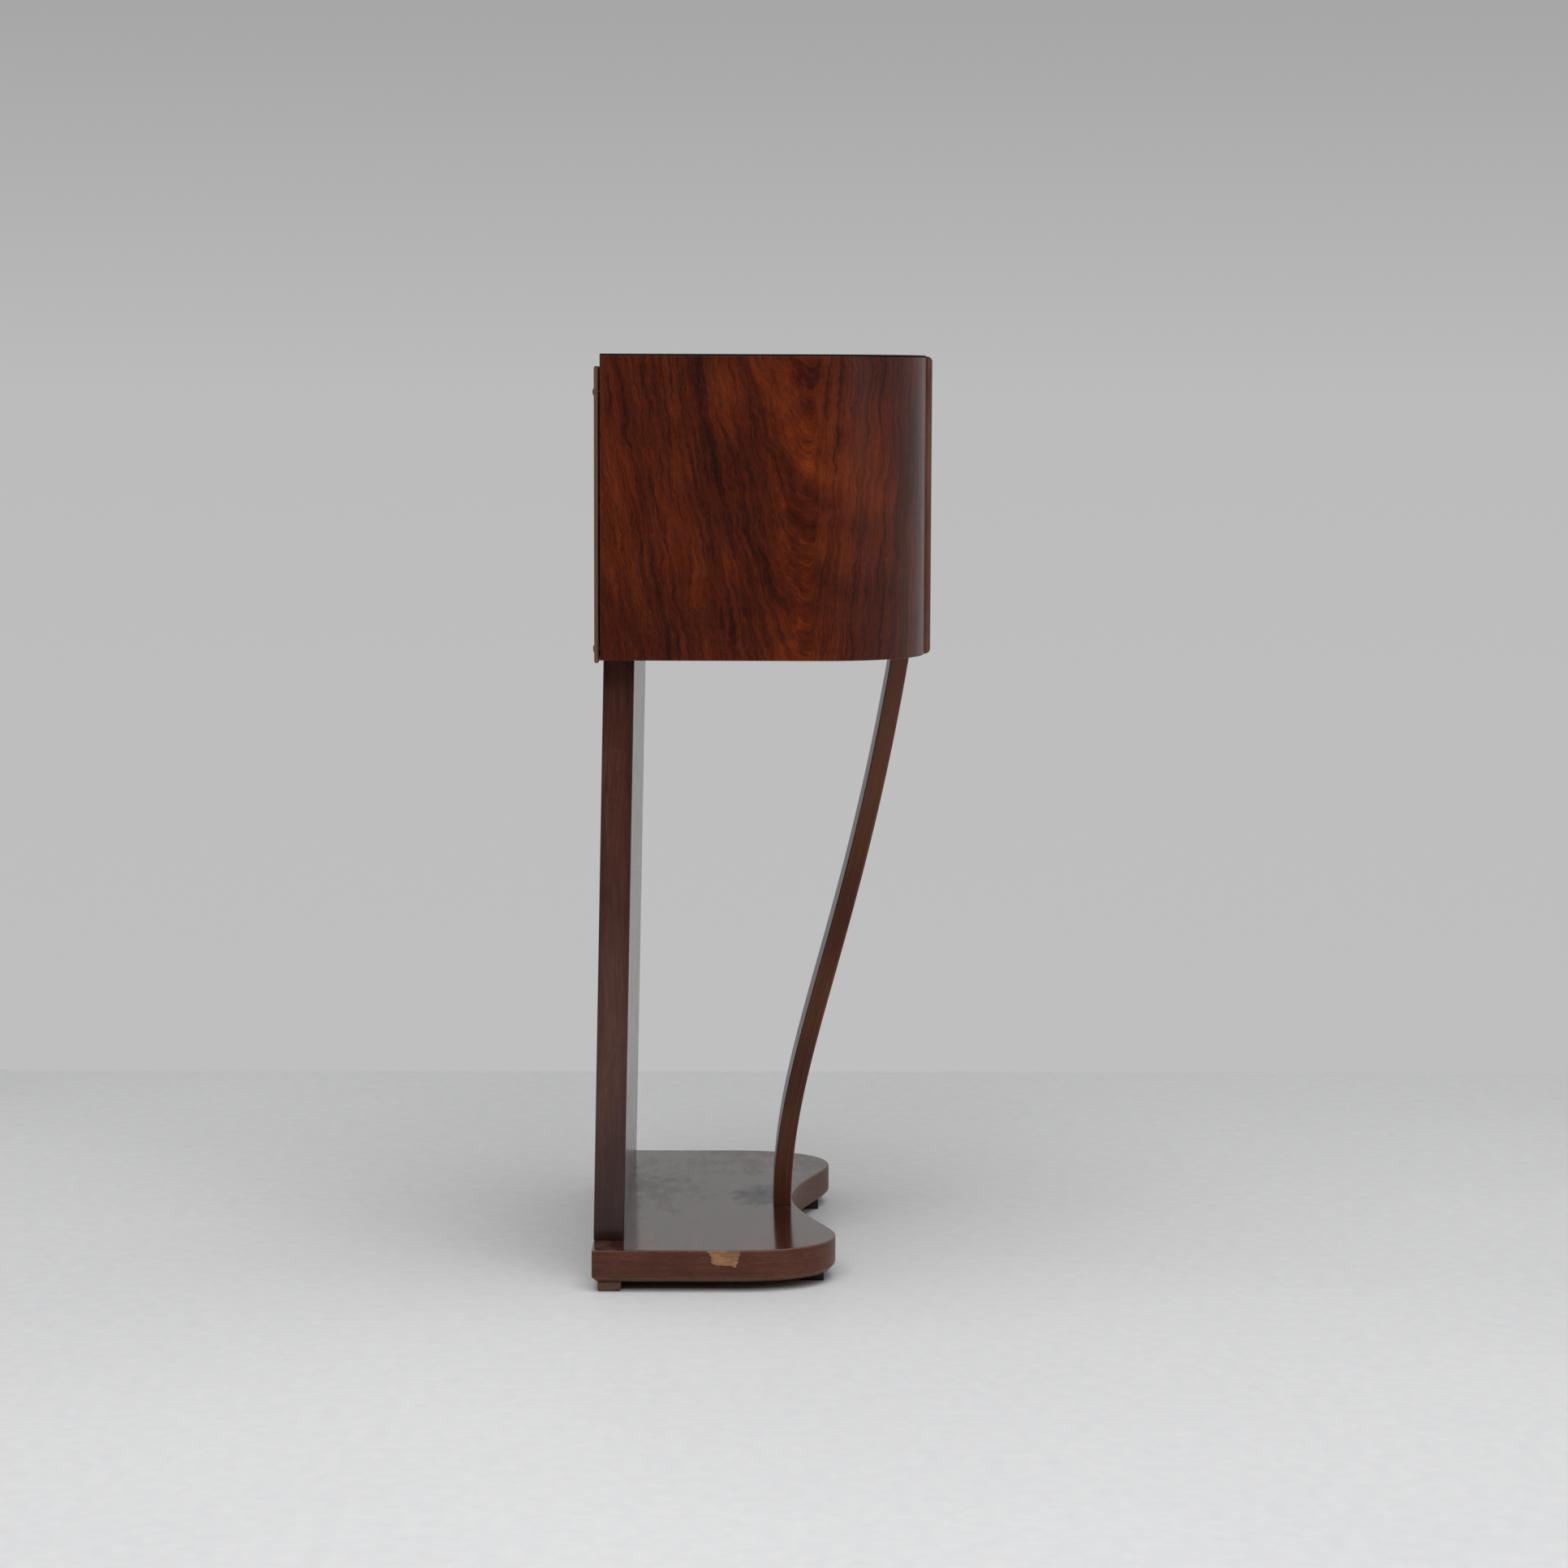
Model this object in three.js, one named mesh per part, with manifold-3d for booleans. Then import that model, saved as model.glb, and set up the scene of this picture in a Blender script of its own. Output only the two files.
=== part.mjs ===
// Console radio of the 1930s: a veneered cabinet with two bent front corners, carried on a plinth
// by a rear support panel and one bent strut. Millimetres, +Z up, front towards -Y.
// The origin is on the floor, under the centre of the whole radio.
import * as THREE from 'three';
import { mergeVertices } from 'three/addons/utils/BufferGeometryUtils.js';
import Module from 'manifold-3d';

const wasm = await Module();
wasm.setup();

// ---------------------------------------------------------------- driving dimensions
const HEIGHT = 1000;
const WIDTH = 520;
const DEPTH = 364;
const REAR = DEPTH / 2;                 // y of the plinth's rear edge
const FRONT = -DEPTH / 2;               // y of the fascia's face
const GAP = 0.3;                        // clearance between touching pieces
const PLAY = 0.6;                       // radial clearance of a running shaft

const FOOT_H = 10.7;
const PLINTH_TOP = 46.1;
const PLINTH_CHAMFER = 5.5;
const LOBE_TIP = 263;                   // depth of the plinth at its two lobes
const NOTCH = 217;                      // depth of the plinth on its centre line
const LOBE_X = 180;

const PANEL_W = 428;
const PANEL_T = 33;
const PANEL_LEAN = 12;                  // how far the panel leans forward over its height
const STRUT_W = 80;
const STRUT_T = 19.8;
const STRUT_FOOT = 206;                 // depth of the strut's centre line at the plinth
const STRUT_HEAD = 336.6;               // and under the cabinet

const CAB_W = 504;
const CAB_BOTTOM = 678.4;
const CAB_REAR = REAR - 10;
const CAB_FRONT = FRONT + 7;
const CORNER_R = 117;
const WALL = 10;
const LIP = 3;                          // part of the top panel that laps over the wrap
const BOARD = 12;

const FASCIA_W = 270;
const FASCIA_T = CAB_FRONT - FRONT - GAP;
const COVER_W = 492;
const COVER_T = 5;
const COVER_BOTTOM = 675.2;
const COVER_TOP = 987;
const COVER_REAR = REAR - 3.5;
const SCREW_X = 236;
const SCREW_Z = [690, 960];

const APERTURE_W = 250;                 // opening in the front of the wrap
const APERTURE_BOTTOM = 691;
const APERTURE_TOP = 985;
const GRILLE_W = 200;
const GRILLE_Z = [836, 972];
const BAR_Z = [870, 904, 938];
const SPEAKER_Z = 904;
const DIAL_Z = 763;                     // axis of the tuning capacitor and the pointer
const DIAL_R = 50;
const KNOB_Z = 718;
const KNOB_X = 70;
const KNOB_R = 15;
const KNOB_FACE = FRONT + 2;
const NICHE_W = 200;
const NICHE_Z = [694, 742];
const TRAY_BACK = -153;
const SHAFT_R = 3;
const DRIVE_R = 38.7;
const PINION_R = 6;

const PAN_W = 350;
const PAN_Y = [-138, 140];
const DECK = 732.7;
const SHEET_T = 1.5;
const PAN_BOTTOM = CAB_BOTTOM + BOARD + GAP;

// ---------------------------------------------------------------- finishes
function finish(color, roughness, metalness = 0) {
  return { color, roughness, metalness };
}
const ROSEWOOD = finish(0x5a2a18, 0.3);
const DARK_WOOD = finish(0x45231a, 0.35);
const STRUT_WOOD = finish(0x50301f, 0.35);
const EDGE_WOOD = finish(0x663f30, 0.4);
const BARE_WOOD = finish(0x8a6a4a, 0.75);
const FIBREBOARD = finish(0x5e4638, 0.8);
const CLOTH = finish(0x8a7350, 0.9);
const BAKELITE = finish(0x24130d, 0.25);
const BRASS = finish(0xb08d4a, 0.35, 1);
const STEEL = finish(0x9a9a98, 0.45, 1);
const ALUMINIUM = finish(0xb8b8b6, 0.4, 1);
const IVORY = finish(0xd9c99c, 0.5);
const GLASS = finish(0xdfe6e4, 0.05);
const PAPER = finish(0x2a2522, 0.85);
const IRON = finish(0x3a3633, 0.6, 0.6);

// ---------------------------------------------------------------- shape helpers
// Merges shared corners, drops triangles of no area and turns the faces outwards.
function welded(geometry) {
  const bare = geometry.clone();
  bare.deleteAttribute('normal');
  bare.deleteAttribute('uv');
  const merged = mergeVertices(bare, 1e-4);
  const source = merged.index.array;
  const place = merged.attributes.position;
  const a = new THREE.Vector3();
  const b = new THREE.Vector3();
  const c = new THREE.Vector3();
  const kept = [];
  let volume = 0;
  for (let i = 0; i < source.length; i += 3) {
    const [p, q, r] = source.slice(i, i + 3);
    if (p === q || q === r || r === p) continue;
    kept.push(p, q, r);
    a.fromBufferAttribute(place, p);
    b.fromBufferAttribute(place, q);
    c.fromBufferAttribute(place, r);
    volume += a.dot(b.cross(c));
  }
  if (volume < 0) kept.reverse();
  merged.setIndex(kept);
  return merged;
}

function solidOf(geometry) {
  const clean = welded(geometry);
  return new wasm.Manifold(new wasm.Mesh({
    numProp: 3,
    vertProperties: new Float32Array(clean.attributes.position.array),
    triVerts: new Uint32Array(clean.index.array),
  }));
}

function geometryOf(solid) {
  const mesh = solid.getMesh();
  const geometry = new THREE.BufferGeometry();
  geometry.setAttribute('position', new THREE.BufferAttribute(mesh.vertProperties, 3));
  geometry.setIndex(Array.from(mesh.triVerts));
  return geometry;
}

function cut(geometry, ...tools) {
  return geometryOf(tools.reduce((solid, tool) => solid.subtract(solidOf(tool)), solidOf(geometry)));
}

function join(first, ...others) {
  return geometryOf(others.reduce((solid, other) => solid.add(solidOf(other)), solidOf(first)));
}

function block([x0, x1], [y0, y1], [z0, z1]) {
  const box = new THREE.BoxGeometry(x1 - x0, y1 - y0, z1 - z0);
  return box.translate((x0 + x1) / 2, (y0 + y1) / 2, (z0 + z1) / 2);
}

// Round bar along Y.
function barY(x, z, radius, [y0, y1], sides = 12) {
  return new THREE.CylinderGeometry(radius, radius, y1 - y0, sides).translate(x, (y0 + y1) / 2, z);
}

// Turned piece along Y, from a profile of [radius, y].
function turnedY(x, z, profile, sides = 20) {
  const lathe = new THREE.LatheGeometry(profile.map((p) => new THREE.Vector2(...p)), sides);
  return welded(lathe.translate(x, 0, z));
}

// Turned piece along Z, from a profile of [radius, z].
function turnedZ(x, y, profile, sides = 16) {
  const lathe = new THREE.LatheGeometry(profile.map((p) => new THREE.Vector2(...p)), sides);
  return welded(lathe.rotateX(Math.PI / 2).translate(x, y, 0));
}

// Plate of a shape drawn in X and Z, between two depths.
function plateY(shape, [y0, y1], curveSegments = 12) {
  const plate = new THREE.ExtrudeGeometry(shape, { depth: y1 - y0, bevelEnabled: false, curveSegments });
  return plate.rotateX(Math.PI / 2).translate(0, y1, 0);
}

// Slab of a shape drawn in X and Y, between two heights.
function slabZ(shape, [z0, z1], curveSegments = 12) {
  const slab = new THREE.ExtrudeGeometry(shape, { depth: z1 - z0, bevelEnabled: false, curveSegments });
  return slab.translate(0, 0, z0);
}

// Prism of an outline drawn in Y and Z, between two values of x.
function prismX(points, [x0, x1]) {
  const shape = new THREE.Shape(points.map((p) => new THREE.Vector2(...p)));
  const prism = new THREE.ExtrudeGeometry(shape, { depth: x1 - x0, bevelEnabled: false });
  const turn = new THREE.Matrix4().makeBasis(
    new THREE.Vector3(0, 1, 0), new THREE.Vector3(0, 0, 1), new THREE.Vector3(1, 0, 0));
  return prism.applyMatrix4(turn).translate(x0, 0, 0);
}

// Outline moved inwards by a distance, corner by corner.
function insetOutline(outline, distance) {
  return outline.map((corner, i) => {
    const before = outline[(i + outline.length - 1) % outline.length];
    const after = outline[(i + 1) % outline.length];
    const u = corner.clone().sub(before).normalize();
    const v = after.clone().sub(corner).normalize();
    const reach = distance / (1 + u.dot(v));
    return new THREE.Vector2(corner.x - (u.y + v.y) * reach, corner.y + (u.x + v.x) * reach);
  });
}

// Board whose outline is drawn in by a given inset at each level, lowest level first.
function layered(outline, levels) {
  const rings = levels.map(([, inset]) => insetOutline(outline, inset));
  const count = outline.length;
  const vertices = rings.flatMap((ring, k) => ring.flatMap((p) => [p.x, p.y, levels[k][0]]));
  const faces = [];
  for (let k = 0; k + 1 < rings.length; k += 1) {
    for (let i = 0; i < count; i += 1) {
      const j = (i + 1) % count;
      faces.push(k * count + i, k * count + j, (k + 1) * count + j);
      faces.push(k * count + i, (k + 1) * count + j, (k + 1) * count + i);
    }
  }
  const top = (rings.length - 1) * count;
  for (const [p, q, r] of THREE.ShapeUtils.triangulateShape(rings[0], [])) faces.push(r, q, p);
  for (const [p, q, r] of THREE.ShapeUtils.triangulateShape(rings.at(-1), [])) {
    faces.push(top + p, top + q, top + r);
  }
  const geometry = new THREE.BufferGeometry();
  geometry.setAttribute('position', new THREE.Float32BufferAttribute(vertices, 3));
  geometry.setIndex(faces);
  return geometry;
}

// Levels of a quarter-round edge of a radius, from an inset edge at `start` to the full outline.
function roundedEdge(start, radius, steps = 4) {
  return Array.from({ length: steps + 1 }, (_, i) => {
    const angle = (i / steps) * Math.PI / 2;
    return [start + radius * (1 - Math.cos(angle)), radius * (1 - Math.sin(angle))];
  });
}

function roundedRectangle([x0, x1], [z0, z1], radius) {
  const shape = new THREE.Shape();
  shape.moveTo(x0 + radius, z0);
  shape.lineTo(x1 - radius, z0);
  shape.absarc(x1 - radius, z0 + radius, radius, -Math.PI / 2, 0);
  shape.absarc(x1 - radius, z1 - radius, radius, 0, Math.PI / 2);
  shape.absarc(x0 + radius, z1 - radius, radius, Math.PI / 2, Math.PI);
  shape.absarc(x0 + radius, z0 + radius, radius, Math.PI, 1.5 * Math.PI);
  return shape;
}

function between(p, q) {
  return [Math.min(p, q), Math.max(p, q)];
}

function centred(width) {
  return [-width / 2, width / 2];
}

// ---------------------------------------------------------------- assembly
const radio = new THREE.Group();
radio.name = 'console_radio';

function add(name, geometry, { color, roughness, metalness }) {
  const material = new THREE.MeshStandardMaterial({ color, roughness, metalness });
  const mesh = new THREE.Mesh(welded(geometry), material);
  mesh.name = name;
  radio.add(mesh);
}

const SIDES = { left: -1, right: 1 };

// ---------------------------------------------------------------- stand
function plinthOutline() {
  const shoulder = REAR - 150;
  const tip = REAR - LOBE_TIP;
  const notch = REAR - NOTCH;
  const side = WIDTH / 2;
  const plan = new THREE.Shape();
  plan.moveTo(side, REAR);
  plan.lineTo(-side, REAR);
  plan.lineTo(-side, shoulder);
  plan.bezierCurveTo(-side, shoulder - 65, -235, tip, -LOBE_X, tip);
  plan.bezierCurveTo(-148, tip, -72, notch, 0, notch);
  plan.bezierCurveTo(72, notch, 148, tip, LOBE_X, tip);
  plan.bezierCurveTo(235, tip, side, shoulder - 65, side, shoulder);
  return plan.getPoints(14).slice(0, -1).filter((p, i, all) => i === 0 || p.distanceTo(all[i - 1]) > 0.01);
}

add('plinth', layered(plinthOutline(), [
  [FOOT_H + GAP, PLINTH_CHAMFER],
  [FOOT_H + GAP + PLINTH_CHAMFER, 0],
  [PLINTH_TOP - 1, 0],
  [PLINTH_TOP, 1],
]), EDGE_WOOD);

for (const [side, sign] of Object.entries(SIDES)) {
  const outer = sign * (WIDTH / 2 - PLINTH_CHAMFER);
  const rearX = between(outer, outer - sign * 60);
  const frontX = between(sign * 143, sign * 205);
  add(`foot_rear_${side}`, block(rearX, [REAR - 31, REAR - 6], [0, FOOT_H]), BARE_WOOD);
  add(`foot_front_${side}`, block(frontX, [REAR - 250, REAR - 226], [0, FOOT_H]), DARK_WOOD);
}

const standBottom = PLINTH_TOP + GAP;
const standTop = CAB_BOTTOM - GAP;
add('rear_support_panel', prismX([
  [REAR - PANEL_T, standBottom],
  [REAR, standBottom],
  [REAR - PANEL_LEAN, standTop],
  [REAR - PANEL_LEAN - PANEL_T, standTop],
], centred(PANEL_W)), DARK_WOOD);

function strutOutline() {
  const span = STRUT_HEAD - STRUT_FOOT;
  const rise = standTop - standBottom;
  const line = new THREE.CubicBezierCurve(
    new THREE.Vector2(REAR - STRUT_FOOT, standBottom),
    new THREE.Vector2(REAR - STRUT_FOOT, standBottom + 0.265 * rise),
    new THREE.Vector2(REAR - STRUT_FOOT - 0.586 * span, standBottom + 0.466 * rise),
    new THREE.Vector2(REAR - STRUT_HEAD, standTop),
  );
  const steps = 20;
  const edge = (sign) => Array.from({ length: steps + 1 }, (_, i) => {
    const point = line.getPoint(i / steps);
    const tangent = line.getTangent(i / steps);
    return [point.x + sign * STRUT_T / 2 / tangent.y, point.y];
  });
  return [...edge(-1), ...edge(1).reverse()];
}

add('front_strut', prismX(strutOutline(), centred(STRUT_W)), STRUT_WOOD);

// ---------------------------------------------------------------- cabinet shell
// Plan of the cabinet, a given distance inside its outer face, with square rear corners.
function cabinetPlan(inset, rear = CAB_REAR) {
  const side = CAB_W / 2 - inset;
  const front = CAB_FRONT + inset;
  const radius = CORNER_R - inset;
  const plan = new THREE.Shape();
  plan.moveTo(side, rear);
  plan.lineTo(-side, rear);
  plan.lineTo(-side, front + radius);
  plan.absarc(-side + radius, front + radius, radius, Math.PI, 1.5 * Math.PI);
  plan.absarc(side - radius, front + radius, radius, 1.5 * Math.PI, 2 * Math.PI);
  return plan;
}

const lipBottom = HEIGHT - LIP;
const wrapHeights = [CAB_BOTTOM, lipBottom - GAP];
add('cabinet_wrap', cut(
  slabZ(cabinetPlan(0), wrapHeights),
  slabZ(cabinetPlan(WALL, CAB_REAR + 1), [CAB_BOTTOM - 1, HEIGHT]),
  block(centred(APERTURE_W), [CAB_FRONT - 1, CAB_FRONT + WALL + 1], [APERTURE_BOTTOM, APERTURE_TOP]),
), ROSEWOOD);

const battenX = [SCREW_X - 11, CAB_W / 2 - WALL - GAP];
const battenY = [CAB_REAR - 24, CAB_REAR];
const battenNotches = [-1, 1].map((sign) => block(
  between(sign * (battenX[0] - GAP), sign * CAB_W / 2),
  [battenY[0] - GAP, CAB_REAR + 1],
  [0, APERTURE_TOP],
));

add('top_panel', join(
  slabZ(cabinetPlan(0), [lipBottom, HEIGHT]),
  slabZ(cabinetPlan(WALL + GAP), [HEIGHT - BOARD - LIP, lipBottom + 0.1]),
), ROSEWOOD);
add('bottom_panel', cut(
  slabZ(cabinetPlan(WALL + GAP), [CAB_BOTTOM, CAB_BOTTOM + BOARD]),
  ...battenNotches,
), DARK_WOOD);

const battenTop = HEIGHT - BOARD - LIP - GAP;
for (const [side, sign] of Object.entries(SIDES)) {
  const x = between(sign * battenX[0], sign * battenX[1]);
  const drilled = [battenY[0] + 6, CAB_REAR + 1];
  const screwHoles = SCREW_Z.map((z) => barY(sign * SCREW_X, z, 2.2, drilled, 8));
  add(`rear_batten_${side}`, cut(block(x, battenY, [CAB_BOTTOM, battenTop]), ...screwHoles), BARE_WOOD);
}

// ---------------------------------------------------------------- back cover
const VENT_ROWS = [810, 850, 890];
const VENT_COLUMNS = [-140, -84, -28, 28, 84, 140];
const INLET_X = 120;
const SOCKETS_X = -110;
const SOCKETS_Z = 711;

function backCover() {
  const outline = [[0, 0], [1, 0], [1, 1], [0, 1]].map(([i, j]) => new THREE.Vector2(
    centred(COVER_W)[i], [COVER_BOTTOM, COVER_TOP][j]));
  const round = 2.2;
  const edge = roundedEdge(0, round, 3);
  const levels = [...edge, ...edge.map(([level, inset]) => [COVER_T - level, inset]).reverse()];
  const board = layered(outline, levels).rotateX(Math.PI / 2).translate(0, COVER_REAR, 0);
  const through = [COVER_REAR - COVER_T - 1, COVER_REAR + 1];
  const vents = VENT_ROWS.flatMap((z) => VENT_COLUMNS.map((x) => barY(x, z, 8, through, 10)));
  const screwHoles = SCREW_Z.flatMap((z) => [-SCREW_X, SCREW_X].map((x) => barY(x, z, 2.2, through, 8)));
  const windowZ = [SOCKETS_Z - 14, SOCKETS_Z + 14];
  const windows = [INLET_X, SOCKETS_X].map((x) => block([x - 38, x + 38], through, windowZ));
  return cut(board, ...vents, ...screwHoles, ...windows);
}
add('back_cover', backCover(), FIBREBOARD);

// Wood screw with a low, flat head and its point towards the front.
function woodScrew(x, z) {
  const seat = COVER_REAR + GAP;
  return turnedY(x, z, [
    [0, seat - 22], [1.8, seat - 17], [1.8, seat], [4.2, seat],
    [4, seat + 0.9], [2.4, seat + 1.2], [0, seat + 1.3],
  ], 10);
}
for (const [side, sign] of Object.entries(SIDES)) {
  add(`cover_screw_${side}_lower`, woodScrew(sign * SCREW_X, SCREW_Z[0]), STEEL);
  add(`cover_screw_${side}_upper`, woodScrew(sign * SCREW_X, SCREW_Z[1]), STEEL);
}

// ---------------------------------------------------------------- fascia, grille and dial
// Half-round opening above a flat sill, `inset` inside the dial opening.
function dialShape(inset) {
  const radius = DIAL_R - inset;
  const sill = DIAL_Z - 7 + inset;
  const shape = new THREE.Shape();
  shape.moveTo(-radius, sill);
  shape.lineTo(radius, sill);
  shape.lineTo(radius, DIAL_Z);
  shape.absarc(0, DIAL_Z, radius, 0, Math.PI);
  return shape;
}

function fascia() {
  const height = [CAB_BOTTOM, HEIGHT - 1];
  const outline = [[0, 0], [1, 0], [1, 1], [0, 1]].map(([i, j]) => new THREE.Vector2(
    centred(FASCIA_W)[i], height[j]));
  const depth = FASCIA_T;
  const levels = [[0, 0], ...roundedEdge(0, 6, 5).map(([level, inset]) => [depth - level, inset]).reverse()];
  const board = layered(outline, levels).rotateX(Math.PI / 2).translate(0, FRONT + depth, 0);
  const through = [FRONT - 1, FRONT + depth + 1];
  return cut(
    board,
    plateY(roundedRectangle(centred(GRILLE_W), GRILLE_Z, 14), through, 6),
    plateY(dialShape(0), through, 14),
    plateY(roundedRectangle(centred(NICHE_W), NICHE_Z, 10), through, 6),
  );
}
add('fascia_board', fascia(), ROSEWOOD);

BAR_Z.forEach((z, i) => {
  const bar = block(centred(GRILLE_W - 2 * GAP), [FRONT + 0.8, FRONT + 6.2], [z - 5, z + 5]);
  add(`grille_bar_${i + 1}`, bar, EDGE_WOOD);
});

const baffleY = [CAB_FRONT + 2, CAB_FRONT + 12];
const baffleBlank = block(centred(APERTURE_W - 6), baffleY, [828, APERTURE_TOP - 0.5]);
add('baffle_board', cut(baffleBlank, barY(0, SPEAKER_Z, 68, [-190, -150], 28)), BARE_WOOD);
add('grille_cloth', block(centred(GRILLE_W + 20), [CAB_FRONT + 0.2, CAB_FRONT + 1.7],
  [GRILLE_Z[0] - 6, GRILLE_Z[1] + 6]), CLOTH);

const bezelY = [FRONT + 0.6, FRONT + 4.6];
add('dial_bezel', cut(
  plateY(dialShape(GAP), bezelY, 14),
  plateY(dialShape(3.2), [FRONT, FRONT + 5], 14),
), BRASS);
add('dial_glass', plateY(dialShape(GAP), [bezelY[1] + GAP, bezelY[1] + 2], 14), GLASS);

const scaleY = [CAB_FRONT + 6, CAB_FRONT + 7];
const scaleBlank = block([-62, 62], scaleY, [750, 822]);
add('dial_scale', cut(scaleBlank, barY(0, DIAL_Z, SHAFT_R + 1, [-180, -160])), IVORY);

for (const [side, sign] of Object.entries(SIDES)) {
  const rear = scaleY[1];
  add(`dial_lamp_${side}`, turnedY(sign * 46, 806, [
    [0, rear + 2], [3.4, rear + 4], [4.4, rear + 8], [3.6, rear + 12],
    [5, rear + 12], [5, rear + 22], [0, rear + 22],
  ], 8), GLASS);
}

// ---------------------------------------------------------------- controls
function controlTray() {
  const outer = roundedRectangle(centred(NICHE_W + 8), [APERTURE_BOTTOM + GAP, NICHE_Z[1] + 4], 8);
  const inner = roundedRectangle(centred(NICHE_W), NICHE_Z, 10);
  const front = CAB_FRONT + GAP;
  const spindleHoles = [-KNOB_X, 0, KNOB_X].map((x) => barY(x, KNOB_Z, SHAFT_R + 1, [-170, -140]));
  const blank = plateY(outer, [front, TRAY_BACK], 5);
  return cut(blank, plateY(inner, [front - 1, TRAY_BACK - 4], 5), ...spindleHoles);
}
add('control_tray', controlTray(), DARK_WOOD);

const spindleTip = KNOB_FACE + 6;
const CONTROLS = { volume: -KNOB_X, tuning: 0, waveband: KNOB_X };
for (const [name, x] of Object.entries(CONTROLS)) {
  const back = KNOB_FACE + 21;
  add(`${name}_knob`, turnedY(x, KNOB_Z, [
    [0, KNOB_FACE], [KNOB_R - 3, KNOB_FACE], [KNOB_R - 1, KNOB_FACE + 1], [KNOB_R - 0.4, KNOB_FACE + 3],
    [KNOB_R, back], [SHAFT_R + GAP, back], [SHAFT_R + GAP, spindleTip - GAP], [0, spindleTip - GAP],
  ]), BAKELITE);
}

const panFront = PAN_Y[0];
const driveY = [-147.5, -144.5];
for (const [name, x] of Object.entries({ volume: -KNOB_X, waveband: KNOB_X })) {
  add(`${name}_spindle`, barY(x, KNOB_Z, SHAFT_R, [spindleTip, panFront + 12]), STEEL);
}
add('tuning_spindle', turnedY(0, KNOB_Z, [
  [0, spindleTip], [SHAFT_R, spindleTip], [SHAFT_R, driveY[0] - 2], [PINION_R, driveY[0] - 2],
  [PINION_R, driveY[1] + 2], [SHAFT_R, driveY[1] + 2], [SHAFT_R, panFront + 12], [0, panFront + 12],
], 16), BRASS);

// Short turned housing behind the pan's front wall, bored for a spindle.
function housing(x, radius, length) {
  const bore = SHAFT_R + PLAY;
  const front = panFront + SHEET_T + GAP;
  return turnedY(x, KNOB_Z, [
    [bore, front], [radius, front], [radius, front + length], [0, front + length],
    [0, front + length - 2], [bore, front + length - 2], [bore, front],
  ], 16);
}
add('volume_control', housing(-KNOB_X, 13, 18), BAKELITE);
add('waveband_switch', housing(KNOB_X, 12, 30), BAKELITE);
add('tuning_bush', housing(0, 6, 14), BRASS);

// ---------------------------------------------------------------- tuning capacitor and its drive
const capY = [-131, -68];
const plateStarts = [-122, -92].flatMap((start) => [0, 1, 2].map((i) => start + 6 * i));

function halfDisc(radius, from, to) {
  const shape = new THREE.Shape();
  shape.absarc(0, DIAL_Z, radius, from, to);
  return shape;
}

function gangRotor() {
  const shaft = barY(0, DIAL_Z, SHAFT_R, [scaleY[0] - 2.3, capY[1] + 4]);
  const plates = plateStarts.map((y) => plateY(halfDisc(24, 0, Math.PI), [y, y + 1], 10));
  return join(shaft, ...plates);
}

function gangFrame() {
  const x = centred(68);
  const z = [DECK + GAP, DIAL_Z + 30];
  const ends = [block(x, [capY[0], capY[0] + 2], z), block(x, [capY[1] - 2, capY[1]], z)];
  const floor = block(x, capY, [z[0], z[0] + 2]);
  const rail = block([-34, -28], capY, [DIAL_Z - 12, DIAL_Z + 12]);
  const fixedPlate = halfDisc(29, Math.PI / 2, 1.5 * Math.PI);
  const stators = plateStarts.map((y) => plateY(fixedPlate, [y + 3, y + 4], 10));
  const frame = join(ends[0], ends[1], floor, rail, ...stators);
  return cut(
    frame,
    barY(0, DIAL_Z, SHAFT_R + PLAY, [capY[0] - 1, capY[1] + 1]),
    barY(0, DIAL_Z, SHAFT_R + 3, [capY[0] + 2, capY[1] - 2]),
  );
}
add('tuning_rotor', gangRotor(), ALUMINIUM);
add('tuning_frame', gangFrame(), ALUMINIUM);
add('drive_disc', turnedY(0, DIAL_Z, [
  [SHAFT_R + GAP, driveY[0]], [DRIVE_R, driveY[0]], [DRIVE_R, driveY[1]], [8, driveY[1]], [8, driveY[1] + 5],
  [SHAFT_R + GAP, driveY[1] + 5], [SHAFT_R + GAP, driveY[0]],
], 36), BRASS);

function pointer() {
  const y = [scaleY[0] - 3.8, scaleY[0] - 2.6];
  const needle = new THREE.Shape([[-1.6, 0], [1.6, 0], [0.6, 43], [-0.6, 43]].map(
    ([x, z]) => new THREE.Vector2(x, DIAL_Z + z)));
  return join(barY(0, DIAL_Z, 5, y), plateY(needle, y));
}
add('dial_pointer', pointer(), BAKELITE);

// ---------------------------------------------------------------- loudspeaker
add('speaker_basket', turnedY(0, SPEAKER_Z, [
  [71, -162.7], [79, -162.7], [79, -160.2], [73.5, -160.2], [38, -118.3], [17, -118.3], [17, -120.8],
  [36.5, -120.8], [71, -159], [71, -162.7],
], 28), IRON);
add('speaker_magnet', turnedY(0, SPEAKER_Z, [
  [0, -127], [10.5, -127], [10.5, -100], [15.5, -100], [15.5, -118], [34, -118], [34, -64], [0, -64],
]), IRON);
add('speaker_cone', turnedY(0, SPEAKER_Z, [
  [0, -134], [14.5, -131], [63, -160.2], [69.5, -160.2], [69.5, -159], [63.4, -159], [15.5, -128.6],
  [14, -128], [14, -106], [12.6, -106], [12.6, -129], [0, -131.5],
], 28), PAPER);

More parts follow.
